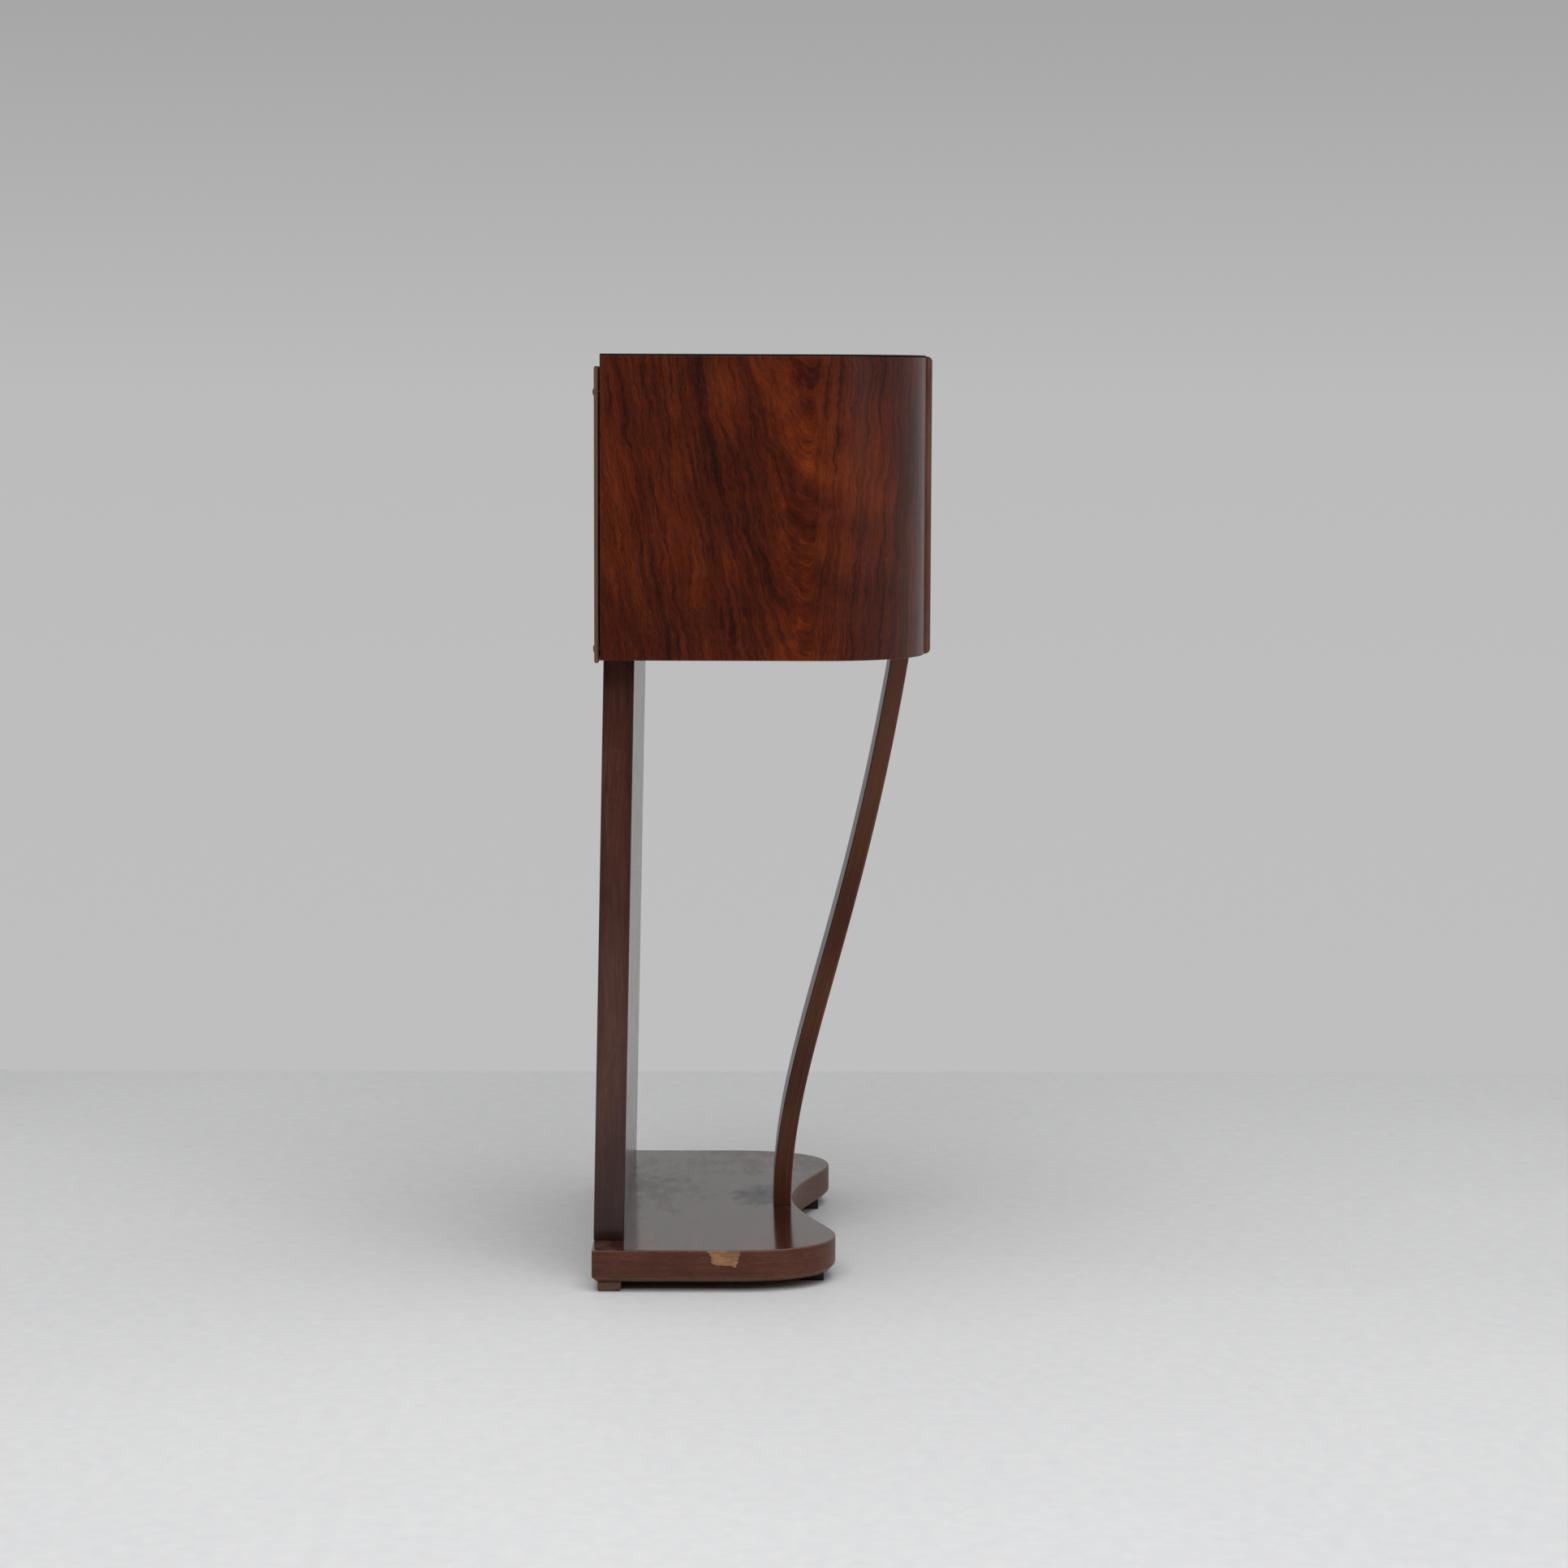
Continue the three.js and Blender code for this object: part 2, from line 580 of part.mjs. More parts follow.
// ---------------------------------------------------------------- chassis
function chassisPan() {
  const x = centred(PAN_W);
  const outer = block(x, PAN_Y, [PAN_BOTTOM, DECK]);
  const inner = block([x[0] + SHEET_T, x[1] - SHEET_T], [PAN_Y[0] + SHEET_T, PAN_Y[1] - SHEET_T],
    [PAN_BOTTOM - 1, DECK - SHEET_T]);
  const spindleHoles = [-KNOB_X, 0, KNOB_X].map((at) => barY(
    at, KNOB_Z, SHAFT_R + PLAY, [PAN_Y[0] - 1, PAN_Y[0] + SHEET_T + 1]));
  return cut(outer, inner, ...spindleHoles);
}
add('chassis_pan', chassisPan(), STEEL);

const onDeck = DECK + GAP;
function transformer([x0, x1], [y0, y1], height) {
  const middle = onDeck + height / 2;
  return join(
    block([x0, x1], [y0 + 8, y1 - 8], [onDeck, onDeck + height]),
    block([x0 + 9, x1 - 9], [y0, y1], [middle - height * 0.34, middle + height * 0.34]),
  );
}
add('mains_transformer', transformer([85, 160], [30, 105], 66), IRON);
add('output_transformer', transformer([-160, -110], [50, 100], 44), IRON);

// Valve: a moulded base and a shouldered bulb.
function valve(x, y) {
  const profile = [
    [0, 0], [16, 0], [17, 24], [20, 28], [23, 48], [21, 62], [15, 76], [14, 92], [9, 100], [0, 103],
  ];
  return turnedZ(x, y, profile.map(([radius, z]) => [radius, onDeck + z]), 12);
}
const VALVES = [[-125, -80], [125, -80], [-60, 10], [0, 10], [60, 10]];
VALVES.forEach(([x, y], i) => add(`valve_${i + 1}`, valve(x, y), GLASS));

function can(x, y, radius, height) {
  const profile = [[0, 0], [radius, 0], [radius, height - 3], [radius - 3, height], [0, height]];
  return turnedZ(x, y, profile.map(([r, z]) => [r, onDeck + z]), 16);
}
add('coil_can_left', can(-78, -55, 21, 74), ALUMINIUM);
add('coil_can_right', can(78, -55, 21, 74), ALUMINIUM);
add('smoothing_capacitor_left', can(-40, 75, 17, 82), ALUMINIUM);
add('smoothing_capacitor_right', can(10, 75, 17, 82), ALUMINIUM);

// ---------------------------------------------------------------- rear connections
const apron = PAN_Y[1] + GAP;
function socketBlock(x, width, depth, holes) {
  const body = block([x - width / 2, x + width / 2], [apron, apron + depth], [SOCKETS_Z - 10, SOCKETS_Z + 10]);
  const bores = holes.map((offset) => barY(x + offset, SOCKETS_Z, 2.2, [apron + 4, apron + depth + 1], 8));
  return cut(body, ...bores);
}
add('mains_inlet', socketBlock(INLET_X, 40, 14, [-9.5, 9.5]), BAKELITE);
add('aerial_sockets', socketBlock(SOCKETS_X, 60, 8, [-21, -7, 7, 21]), BAKELITE);

export default radio;
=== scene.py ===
"""Console radio of the 1930s in dark veneered wood, staged on a pale studio floor."""
import math

import bmesh
import bpy
from mathutils import Matrix, Vector


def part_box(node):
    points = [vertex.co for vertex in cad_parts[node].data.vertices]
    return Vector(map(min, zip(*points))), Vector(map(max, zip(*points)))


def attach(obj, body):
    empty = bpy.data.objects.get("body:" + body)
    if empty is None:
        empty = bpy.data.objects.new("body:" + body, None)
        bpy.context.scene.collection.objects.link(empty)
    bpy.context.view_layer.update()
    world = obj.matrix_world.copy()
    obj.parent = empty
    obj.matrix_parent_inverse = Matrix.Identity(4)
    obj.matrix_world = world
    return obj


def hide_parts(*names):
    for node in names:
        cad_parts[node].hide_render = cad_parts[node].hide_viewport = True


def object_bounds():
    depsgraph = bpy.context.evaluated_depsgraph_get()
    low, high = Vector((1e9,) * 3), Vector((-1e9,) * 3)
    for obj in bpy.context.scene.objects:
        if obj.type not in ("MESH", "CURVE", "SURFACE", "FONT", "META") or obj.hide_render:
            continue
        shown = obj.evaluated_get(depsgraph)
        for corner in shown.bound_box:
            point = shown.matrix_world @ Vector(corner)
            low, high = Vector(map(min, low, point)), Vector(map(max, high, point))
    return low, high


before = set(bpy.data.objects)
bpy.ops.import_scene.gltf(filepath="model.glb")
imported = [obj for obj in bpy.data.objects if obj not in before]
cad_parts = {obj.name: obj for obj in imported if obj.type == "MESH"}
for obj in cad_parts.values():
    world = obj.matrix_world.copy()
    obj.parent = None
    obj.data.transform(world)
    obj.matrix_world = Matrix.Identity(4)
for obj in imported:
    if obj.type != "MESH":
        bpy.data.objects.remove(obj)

CAD_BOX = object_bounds()
ROOT = "cabinet"
MM = 0.001


# ------------------------------------------------------------------ camera and studio
def place_camera():
    """Long lens with a slight downward tilt, square to the radio's left side."""
    yaw, tilt, roll = (math.radians(angle) for angle in (0.509, 6.164, 0.2))
    forward = Vector((math.cos(yaw) * math.cos(tilt), -math.sin(yaw) * math.cos(tilt), -math.sin(tilt)))
    level = Vector((-math.sin(yaw), -math.cos(yaw), 0.0))
    right = level * math.cos(roll) + level.cross(forward) * math.sin(roll)
    up = right.cross(forward)
    stand = Vector((-4.0947, 0.0118, 0.9631))
    data = bpy.data.cameras.new("camera")
    data.sensor_width = 36.0
    data.lens = 83.85
    data.clip_end = 60.0
    camera = bpy.data.objects.new("camera", data)
    turn = Matrix((right, up, -forward)).transposed().to_4x4()
    camera.matrix_world = Matrix.Translation(stand) @ turn
    bpy.context.scene.collection.objects.link(camera)
    bpy.context.scene.camera = camera


def softbox(name, place, target, size, power):
    """Rectangular area light that looks at a target."""
    data = bpy.data.lights.new(name, "AREA")
    data.shape = "RECTANGLE"
    data.size, data.size_y = size
    data.energy = power
    light = bpy.data.objects.new(name, data)
    aim = (Vector(target) - Vector(place)).to_track_quat("-Z", "Y")
    light.matrix_world = Matrix.Translation(place) @ aim.to_matrix().to_4x4()
    bpy.context.scene.collection.objects.link(light)


WALL_X = 1.02                # the floor ends here, and the grey surroundings begin
FLOOR_NEAR = -2.6
FLOOR_SIDE = 7.0
# greys of the surroundings, from straight below to straight above
ROOM = [(0.0, 0.66), (0.36, 0.62), (0.407, 0.52), (0.455, 0.515), (0.50, 0.50), (0.55, 0.385),
        (0.75, 0.36), (1.0, 0.5)]


def surroundings():
    """Grey room, paler towards the floor. What lights the radio is darker towards the left."""
    world = bpy.data.worlds.new("studio")
    bpy.context.scene.world = world
    world.use_nodes = True
    sky = NodeTree()
    sky.tree = world.node_tree
    sky.tree.nodes.clear()
    along, _, height = sky.parts(sky.node("ShaderNodeTexCoord", {}, {}, "Generated"))
    rise = sky.node("ShaderNodeMapRange", {}, {"Value": height, "From Min": -1.0})
    tone = sky.node("ShaderNodeValToRGB", {"stops": ROOM}, {0: rise})
    side = sky.node("ShaderNodeMapRange", {}, {
        "Value": along, "From Min": -0.75, "From Max": -0.1, "To Min": 0.03, "To Max": 1.0})
    seen = sky.node("ShaderNodeLightPath", {}, {}, "Is Camera Ray")
    background = sky.node("ShaderNodeBackground", {}, {
        "Color": tone, "Strength": sky.math("MAXIMUM", side, seen)})
    output = sky.tree.nodes.new("ShaderNodeOutputWorld")
    sky.tree.links.new(background.socket, output.inputs["Surface"])


def floor():
    """Pale painted floor that ends in a straight line behind the radio."""
    made = bmesh.new()
    corners = rectangle((FLOOR_NEAR, -FLOOR_SIDE), (WALL_X, FLOOR_SIDE))
    made.faces.new([made.verts.new((corner.x, corner.y, 0)) for corner in corners])
    mesh = bpy.data.meshes.new("studio_floor")
    made.to_mesh(mesh)
    made.free()
    ground = bpy.data.objects.new("studio_floor", mesh)
    bpy.context.scene.collection.objects.link(ground)
    paint = Finish("floor_paint", {"Roughness": 0.55, "Specular IOR Level": 0.3})
    place = paint.place()
    cloudy = paint.noise(place, 1.1, detail=3)
    speckle = paint.noise(place, 55.0, detail=2)
    tone = cloudy * 0.5 + speckle * 0.5
    paint.colour(paint.ramp(tone, [(0.3, (0.60, 0.603, 0.612)), (0.7, (0.67, 0.673, 0.68))]))
    mesh.materials.append(paint.material)


# ------------------------------------------------------------------ shader building
def set_stops(ramp, stops):
    """Gives a colour ramp its stops, as (position, colour) or (position, grey)."""
    while len(ramp.elements) < len(stops):
        ramp.elements.new(1.0)
    for element, (at, tone) in zip(ramp.elements, stops):
        element.position = at
        red, green, blue = tone if isinstance(tone, tuple) else (tone, tone, tone)
        element.color = (red, green, blue, 1.0)


class Value:
    """A node's output that can stand in a sum: each operator adds its Math node."""

    def __init__(self, tree, socket):
        self.tree = tree
        self.socket = socket

    def __add__(self, other):
        return self.tree.math("ADD", self, other)

    def __sub__(self, other):
        return self.tree.math("SUBTRACT", self, other)

    def __rsub__(self, other):
        return self.tree.math("SUBTRACT", other, self)

    def __mul__(self, other):
        return self.tree.math("MULTIPLY", self, other)

    def __truediv__(self, other):
        return self.tree.math("DIVIDE", self, other)

    def __pow__(self, other):
        return self.tree.math("POWER", self, other)

    def __abs__(self):
        return self.tree.math("ABSOLUTE", self)

    def __gt__(self, other):
        return self.tree.math("GREATER_THAN", self, other)

    __radd__ = __add__
    __rmul__ = __mul__


class NodeTree:
    """A tree of shader or geometry nodes that grows by expressions."""

    def math(self, operation, first, second=0.0):
        return self.node("ShaderNodeMath", {"operation": operation}, {0: first, 1: second})

    def node(self, kind, settings, sockets, output=0):
        """Adds a node with its settings and the values or links of its sockets; gives one output."""
        made = self.tree.nodes.new(kind)
        for name, setting in settings.items():
            if name == "stops":
                set_stops(made.color_ramp, setting)
            else:
                setattr(made, name, setting)
        for name, source in sockets.items():
            if isinstance(source, Value):
                self.tree.links.new(source.socket, made.inputs[name])
            else:
                made.inputs[name].default_value = source
        return Value(self, made.outputs[output])

    def parts(self, vector):
        return [self.node("ShaderNodeSeparateXYZ", {}, {0: vector}, axis) for axis in "XYZ"]

    def vector(self, x, y, z=0.0):
        return self.node("ShaderNodeCombineXYZ", {}, {0: x, 1: y, 2: z})


class Repeat(NodeTree):
    """Geometry nodes with named sizes, run once and left as a plain mesh."""

    KINDS = {int: "NodeSocketInt", float: "NodeSocketFloat", tuple: "NodeSocketVector"}

    def __init__(self, name, **sizes):
        self.tree = bpy.data.node_groups.new(name, "GeometryNodeTree")
        self.tree.interface.new_socket("Geometry", in_out="OUTPUT", socket_type="NodeSocketGeometry")
        self.sizes = sizes
        for size, amount in sizes.items():
            self.tree.interface.new_socket(size, in_out="INPUT", socket_type=self.KINDS[type(amount)])
        self.inputs = self.tree.nodes.new("NodeGroupInput")

    def size(self, name):
        return Value(self, self.inputs.outputs[name])

    def moved(self, geometry, **change):
        """The geometry moved, turned or scaled, as Translation, Rotation or Scale says."""
        return self.node("GeometryNodeTransform", {}, {"Geometry": geometry, **change})

    def join(self, *parts):
        """One geometry that holds several."""
        whole = self.node("GeometryNodeJoinGeometry", {}, {})
        for part in parts:
            self.tree.links.new(part.socket, whole.socket.node.inputs[0])
        return whole

    def copies(self, points, instance, **change):
        """A copy of the instance at every point, with its own Rotation or Scale."""
        return self.node("GeometryNodeInstanceOnPoints", {}, {
            "Points": points, "Instance": instance, **change})

    def grow(self, name, geometry, finish, slot, stands_for=()):
        """Runs the tree and makes its result a piece."""
        real = self.node("GeometryNodeRealizeInstances", {}, {0: geometry})
        painted_mesh = self.node("GeometryNodeSetMaterial", {}, {"Geometry": real, "Material": finish})
        output = self.tree.nodes.new("NodeGroupOutput")
        self.tree.links.new(painted_mesh.socket, output.inputs[0])
        grown = bpy.data.objects.new(name, bpy.data.meshes.new(name))
        bpy.context.scene.collection.objects.link(grown)
        rule = grown.modifiers.new("rule", "NODES")
        rule.node_group = self.tree
        for socket in self.tree.interface.items_tree:
            if socket.in_out == "INPUT":
                rule[socket.identifier] = self.sizes[socket.name]
        result = grown.evaluated_get(bpy.context.evaluated_depsgraph_get())
        mesh = bpy.data.meshes.new_from_object(result)
        grown.modifiers.clear()
        grown.data = mesh
        return settle(grown, slot, ROOT, stands_for)


class Finish(NodeTree):
    """One procedural material: a Principled shader and the nodes that feed it."""

    def __init__(self, name, constants):
        self.material = bpy.data.materials.new(name)
        self.material.use_nodes = True
        self.tree = self.material.node_tree
        self.tree.nodes.clear()
        self.shader = self.tree.nodes.new("ShaderNodeBsdfPrincipled")
        output = self.tree.nodes.new("ShaderNodeOutputMaterial")
        self.tree.links.new(self.shader.outputs[0], output.inputs["Surface"])
        for socket, amount in constants.items():
            self.shader.inputs[socket].default_value = amount

    def place(self, scale=(1, 1, 1), shift=(0, 0, 0), uv=False):
        """Object coordinates, or the piece's own UV map, scaled and shifted."""
        source = self.node("ShaderNodeTexCoord", {}, {}, "UV" if uv else "Object")
        return self.node("ShaderNodeMapping", {}, {"Vector": source, "Scale": scale, "Location": shift})

    def noise(self, vector, scale, detail=2.0, roughness=0.5):
        return self.node("ShaderNodeTexNoise", {}, {
            "Vector": vector, "Scale": scale, "Detail": detail, "Roughness": roughness})

    def ramp(self, value, stops):
        return self.node("ShaderNodeValToRGB", {"stops": stops}, {0: value})

    def step(self, value, low, high):
        """0 below low, 1 above high and smooth between; the other way round if low is the higher."""
        return self.node("ShaderNodeMapRange", {"interpolation_type": "SMOOTHSTEP"}, {
            "Value": value, "From Min": low, "From Max": high})

    def mix(self, factor, first, second):
        """Mixes two colours, each given as a link or as (red, green, blue)."""
        tones = [tone if isinstance(tone, Value) else (*tone, 1.0) for tone in (first, second)]
        return self.node("ShaderNodeMix", {"data_type": "RGBA"}, {0: factor, 6: tones[0], 7: tones[1]}, 2)

    def feed(self, socket, source):
        self.tree.links.new(source.socket, self.shader.inputs[socket])

    def colour(self, source):
        self.feed("Base Color", source)

    def roughness(self, source):
        self.feed("Roughness", source)

    def bump(self, height, distance):
        self.feed("Normal", self.node("ShaderNodeBump", {}, {"Height": height, "Distance": distance}))


def srgb(red, green, blue):
    """Linear colour of a display colour from 0 to 255."""
    def linear(channel):
        share = channel / 255
        return share / 12.92 if share <= 0.04045 else ((share + 0.055) / 1.055) ** 2.4
    return tuple(linear(channel) for channel in (red, green, blue))


# ------------------------------------------------------------------ finishes
CHIP_Y = 0.0395              # middle of the plinth's chipped edge, on its left side
CRACK_X, CRACK_Y = 0.205, -0.005
GLUE_LINE = 0.162            # where the rear panel meets the plinth's top


def rosewood_veneer(name, centre, sweep, pale=0.0):
    """Flat-sawn veneer: growth rings meet in points one above another, on a map in metres.

    centre is how far from the map's left edge the points lie, sweep how fast the rings lean, and
    pale how much lighter the wood is. Right of the points the rings stand upright and close together.
    """
    wood = Finish(name, {"Coat Weight": 0.22, "Coat Roughness": 0.16, "Specular IOR Level": 0.22})
    flat = wood.place(uv=True)
    across, along, _ = wood.parts(flat)
    warp = wood.noise(flat, 12.0, detail=4.0, roughness=0.6) - 0.5
    wobble = wood.noise(wood.place(scale=(110, 26, 1), uv=True), 1.0, detail=3.0, roughness=0.6) - 0.5
    offset = across - centre + warp * 0.034 + wobble * 0.0055
    crowded = wood.step(offset, 0.0, 0.040) * 2.4 + 1
    bow = (offset * offset + 0.034 ** 2) ** 0.5 + offset * offset * 2.4
    ring = bow * crowded - along * sweep
    slow = wood.noise(wood.vector(ring * 27.0, along * 3.0, 3.1), 1.0, detail=2.0, roughness=0.55)
    rings = wood.noise(wood.vector(ring * 82.0, along * 6.0, 7.7), 1.0, detail=3.0, roughness=0.6)
    lines = wood.noise(wood.vector(ring * 310.0, along * 22.0, 1.3), 1.0, detail=3.0, roughness=0.65)
    fibres = wood.noise(wood.vector(ring * 1000.0, along * 90.0, 5.0), 1.0, detail=3.0, roughness=0.75)
    cloud = wood.noise(flat, 8.0, detail=2.0)
    blotch = wood.noise(wood.place(scale=(1.6, 1, 1), uv=True), 38.0, detail=3.0, roughness=0.6)
    heart = wood.step(bow, 0.075, 0.036)
    drawn = lines + (blotch - lines) * heart * 0.75
    bands = slow * 0.36 + rings * 0.40 + drawn * 0.36 + fibres * 0.40
    tone = bands + cloud * 0.30 + heart * 0.035 + (pale - 0.42)
    figure = wood.ramp(tone, [
        (0.33, srgb(34, 9, 5)), (0.43, srgb(58, 18, 7)), (0.51, srgb(82, 28, 9)),
        (0.60, srgb(110, 43, 13)), (0.74, srgb(144, 68, 24))])
    streak = wood.step(rings * 0.62 + slow * 0.2 + lines * 0.30, 0.60, 0.68) * 0.62
    streaked = wood.mix(streak, figure, srgb(30, 11, 9))
    pores = wood.noise(wood.vector(ring * 2100.0, along * 110.0), 1.0, detail=2.0)
    pore = wood.step(pores, 0.60, 0.70) * 0.6
    wood.colour(wood.mix(pore, streaked, srgb(28, 11, 8)))
    haze = wood.noise(flat, 35.0, detail=4.0)
    wood.roughness(haze * 0.16 + 0.26)
    wood.bump(pore * -0.7 + lines * 0.4, 0.00012)
    return wood.material


def straight_wood(name, tones, along, width=1.0, gloss=0.35, lacquer=0.3, dust=0.0, foot_shade=0.0):
    """Straight-grained wood. tones run from dark to light; along is the axis of its fibres.

    dust is how much of it lies on the wood, and the last argument how strongly painted shade darkens the
    wood towards its foot.
    """
    wood = Finish(name, {"Coat Weight": lacquer, "Coat Roughness": 0.18, "Specular IOR Level": 0.2})
    stretch = [0.05 if axis == along else 1.0 for axis in "XYZ"]
    grain = wood.place(scale=stretch)
    sway = wood.noise(wood.place(), 5.0, detail=1.0) - 0.5
    swayed = wood.node("ShaderNodeVectorMath", {"operation": "ADD"}, {
        0: grain, 1: wood.vector(sway * 0.02, sway * 0.02, sway * 0.02)})
    broad = wood.noise(swayed, 45.0 / width, detail=2.0)
    fibres = wood.noise(swayed, 420.0 / width, detail=3.0, roughness=0.65)
    fine = wood.noise(swayed, 1600.0, detail=2.0)
    cloud = wood.noise(wood.place(), 6.0, detail=2.0)
    tone = broad * 0.40 + fibres * 0.38 + fine * 0.16 + cloud * 0.3 - 0.12
    figure = wood.ramp(tone, list(zip((0.34, 0.52, 0.70), tones)))
    pore = wood.step(fine, 0.60, 0.74) * 0.4
    coloured = wood.mix(pore, figure, [channel * 0.45 for channel in tones[0]])
    if dust:
        settled = wood.step(wood.noise(wood.place(), 60.0, detail=5.0, roughness=0.7), 0.45, 0.75)
        coloured = wood.mix(settled * dust, coloured, srgb(150, 135, 118))
    if foot_shade:
        _, _, height = wood.parts(wood.place())
        # painted shade: the wood darkens towards the plinth top, at its foot
        low = wood.step(height + cloud * 0.08, PLINTH_TOP + 0.30, PLINTH_TOP)
        coloured = wood.mix(low * foot_shade, coloured, srgb(24, 13, 12))
    wood.colour(coloured)
    haze = wood.noise(wood.place(), 30.0, detail=4.0)
    wood.roughness(haze * 0.18 + (gloss - 0.09))
    wood.bump(fibres * 0.6 + pore * -0.8, 0.00015)
    return wood.material


def painted(name, tone, roughness, speck=300.0, metallic=0.0, spread=0.12, constants=None):
    """Plain finish with small changes of tone and of gloss, and a little settled dust."""
    paint = Finish(name, {"Metallic": metallic, **(constants or {})})
    cloud = paint.noise(paint.place(), 25.0, detail=3.0)
    fleck = paint.noise(paint.place(), speck, detail=2.0)
    light = [min(channel * (1 + spread * 2) + 0.004, 1.0) for channel in tone]
    dark = [channel * (1 - spread * 2) for channel in tone]
    paint.colour(paint.mix(paint.step(cloud * 0.6 + fleck * 0.4, 0.35, 0.65), dark, light))
    paint.roughness(fleck * 0.12 + cloud * 0.10 + (roughness - 0.11))
    paint.bump(fleck, 0.00008)
    return paint.material


def edge_band(name):
    """Reddish veneer round the plinth's edge: fibres run along the band, with a chip on one side."""
    wood = Finish(name, {"Coat Weight": 0.1, "Coat Roughness": 0.25, "Specular IOR Level": 0.22})
    flat = wood.place(uv=True)
    sway = wood.noise(wood.place(scale=(6, 30, 1), uv=True), 1.0, detail=2.0) - 0.5
    run, height, _ = wood.parts(flat)
    swayed = height + sway * 0.010
    broad = wood.noise(wood.vector(run * 9.0, swayed * 190.0), 1.0, detail=3.0, roughness=0.6)
    fibres = wood.noise(wood.vector(run * 70.0, swayed * 900.0), 1.0, detail=4.0, roughness=0.75)
    cloud = wood.noise(flat, 14.0, detail=2.0)
    tone = broad * 0.28 + fibres * 0.62 + cloud * 0.35 - 0.12
    figure = wood.ramp(tone, [
        (0.34, srgb(58, 29, 19)), (0.52, srgb(86, 47, 32)), (0.70, srgb(116, 70, 48))])
    worn = wood.noise(wood.place(scale=(90, 160, 1), uv=True), 1.0, detail=4.0, roughness=0.7)
    top, bottom = PLINTH_TOP, PLINTH_BOTTOM
    rubbed = wood.step(height, top - 0.004, top) + wood.step(height, bottom + 0.009, bottom + 0.003)
    pale = wood.mix(wood.step(worn * 0.6 + rubbed * 0.35, 0.46, 0.62) * 0.4, figure, srgb(140, 96, 74))
    side, depth, _ = wood.parts(wood.place())
    ragged = wood.noise(wood.place(scale=(1, 1, 2.4)), 110.0, detail=4.0, roughness=0.6) - 0.5
    reach = abs(depth - CHIP_Y) + (top - height) * 0.4 + ragged * 0.010
    drop = top - height + ragged * 0.006 + (depth - CHIP_Y) * 0.12
    on_side = wood.step(side, -0.24, -0.25)
    chip = wood.step(reach, 0.0192, 0.0182) * wood.step(drop, 0.0172, 0.0162) * on_side
    # painted shade: a darker border round the chip's broken edge
    rim = wood.step(reach, 0.0212, 0.0192) * wood.step(drop, 0.0192, 0.0172) * on_side
    bare_grain = wood.noise(wood.vector(run * 70.0, swayed * 500.0), 1.0, detail=2.0)
    # painted shade inside the chip, darkest at its top edge and towards its front
    shade_and_soot = wood.step(drop, 0.010, 0.001) * wood.step(depth + ragged * 0.01, CHIP_Y + 0.006, CHIP_Y - 0.008)
    clean = wood.ramp(bare_grain, [(0.3, srgb(124, 86, 60)), (0.7, srgb(172, 126, 88))])
    bare = wood.mix(shade_and_soot * 0.5, clean, srgb(86, 66, 54))
    shaded = wood.mix(rim * 0.5, pale, srgb(50, 28, 20))
    wood.colour(wood.mix(chip, shaded, bare))
    wood.roughness(worn * 0.2 + 0.34 + chip * 0.2)
    wood.bump(fibres * 0.25 - chip * 1.5, 0.0004)
    return wood.material


def polished_top(name):
    """Old glossy veneer: scuffs, a hairline crack, dust by the panel and a darker, duller patch round the
    strut's foot.
    """
    wood = Finish(name, {"Coat Weight": 0.6, "Coat Roughness": 0.10, "IOR": 1.5})
    place = wood.place()
    sway = wood.noise(place, 7.0, detail=2.0) - 0.5
    across, depth, _ = wood.parts(place)
    ring = depth + sway * 0.03
    broad = wood.noise(wood.vector(across * 2.5, ring * 55.0), 1.0, detail=3.0)
    fibres = wood.noise(wood.vector(across * 30.0, ring * 900.0), 1.0, detail=3.0)
    figure = wood.ramp(broad * 0.6 + fibres * 0.4, [
        (0.30, srgb(40, 19, 15)), (0.52, srgb(64, 32, 25)), (0.72, srgb(88, 50, 38))])
    scuff = wood.noise(wood.place(scale=(1.0, 2.2, 1)), 26.0, detail=6.0, roughness=0.72)
    patch = wood.noise(place, 6.5, detail=2.0)
    far_side = wood.step(across, -0.16, 0.02) * 0.07
    worn = wood.step(scuff * 0.55 + patch * 0.45 + far_side, 0.52, 0.68)
    dusty_line = wood.step(depth, GLUE_LINE - 0.012, GLUE_LINE - 0.002) * wood.step(scuff, 0.40, 0.60)
    ragged = wood.noise(place, 48.0, detail=4.0, roughness=0.65)
    # a darker, rougher patch centred on the strut's foot
    from_foot = ((across - 0.01) * 15.0) ** 2 + ((depth - 0.003) * 30.0) ** 2 + ragged * 3.0
    foot_patch = wood.step(from_foot, 2.5, 1.6)
    dulled = wood.mix(worn * 0.45 + dusty_line * 0.4, figure, srgb(92, 78, 70))
    patched = wood.mix(foot_patch * 0.85, dulled, srgb(38, 38, 33))
    stray = wood.noise(wood.place(shift=(0.3, 0, 0)), 30.0, detail=4.0) - 0.5
    crack_line = abs(depth - CRACK_Y + (across - CRACK_X) * 0.35 + stray * 0.016)
    crack = wood.step(crack_line, 0.0016, 0.0005) * wood.step(across, CRACK_X - 0.03, CRACK_X - 0.02)
    wood.colour(wood.mix(crack * 0.9, patched, srgb(26, 12, 9)))
    wood.roughness(worn * 0.22 + scuff * 0.10 + foot_patch * 0.25 + 0.10)
    wood.bump(scuff * 0.4 + fibres * 0.2 + crack * -2.0, 0.00012)
    return wood.material


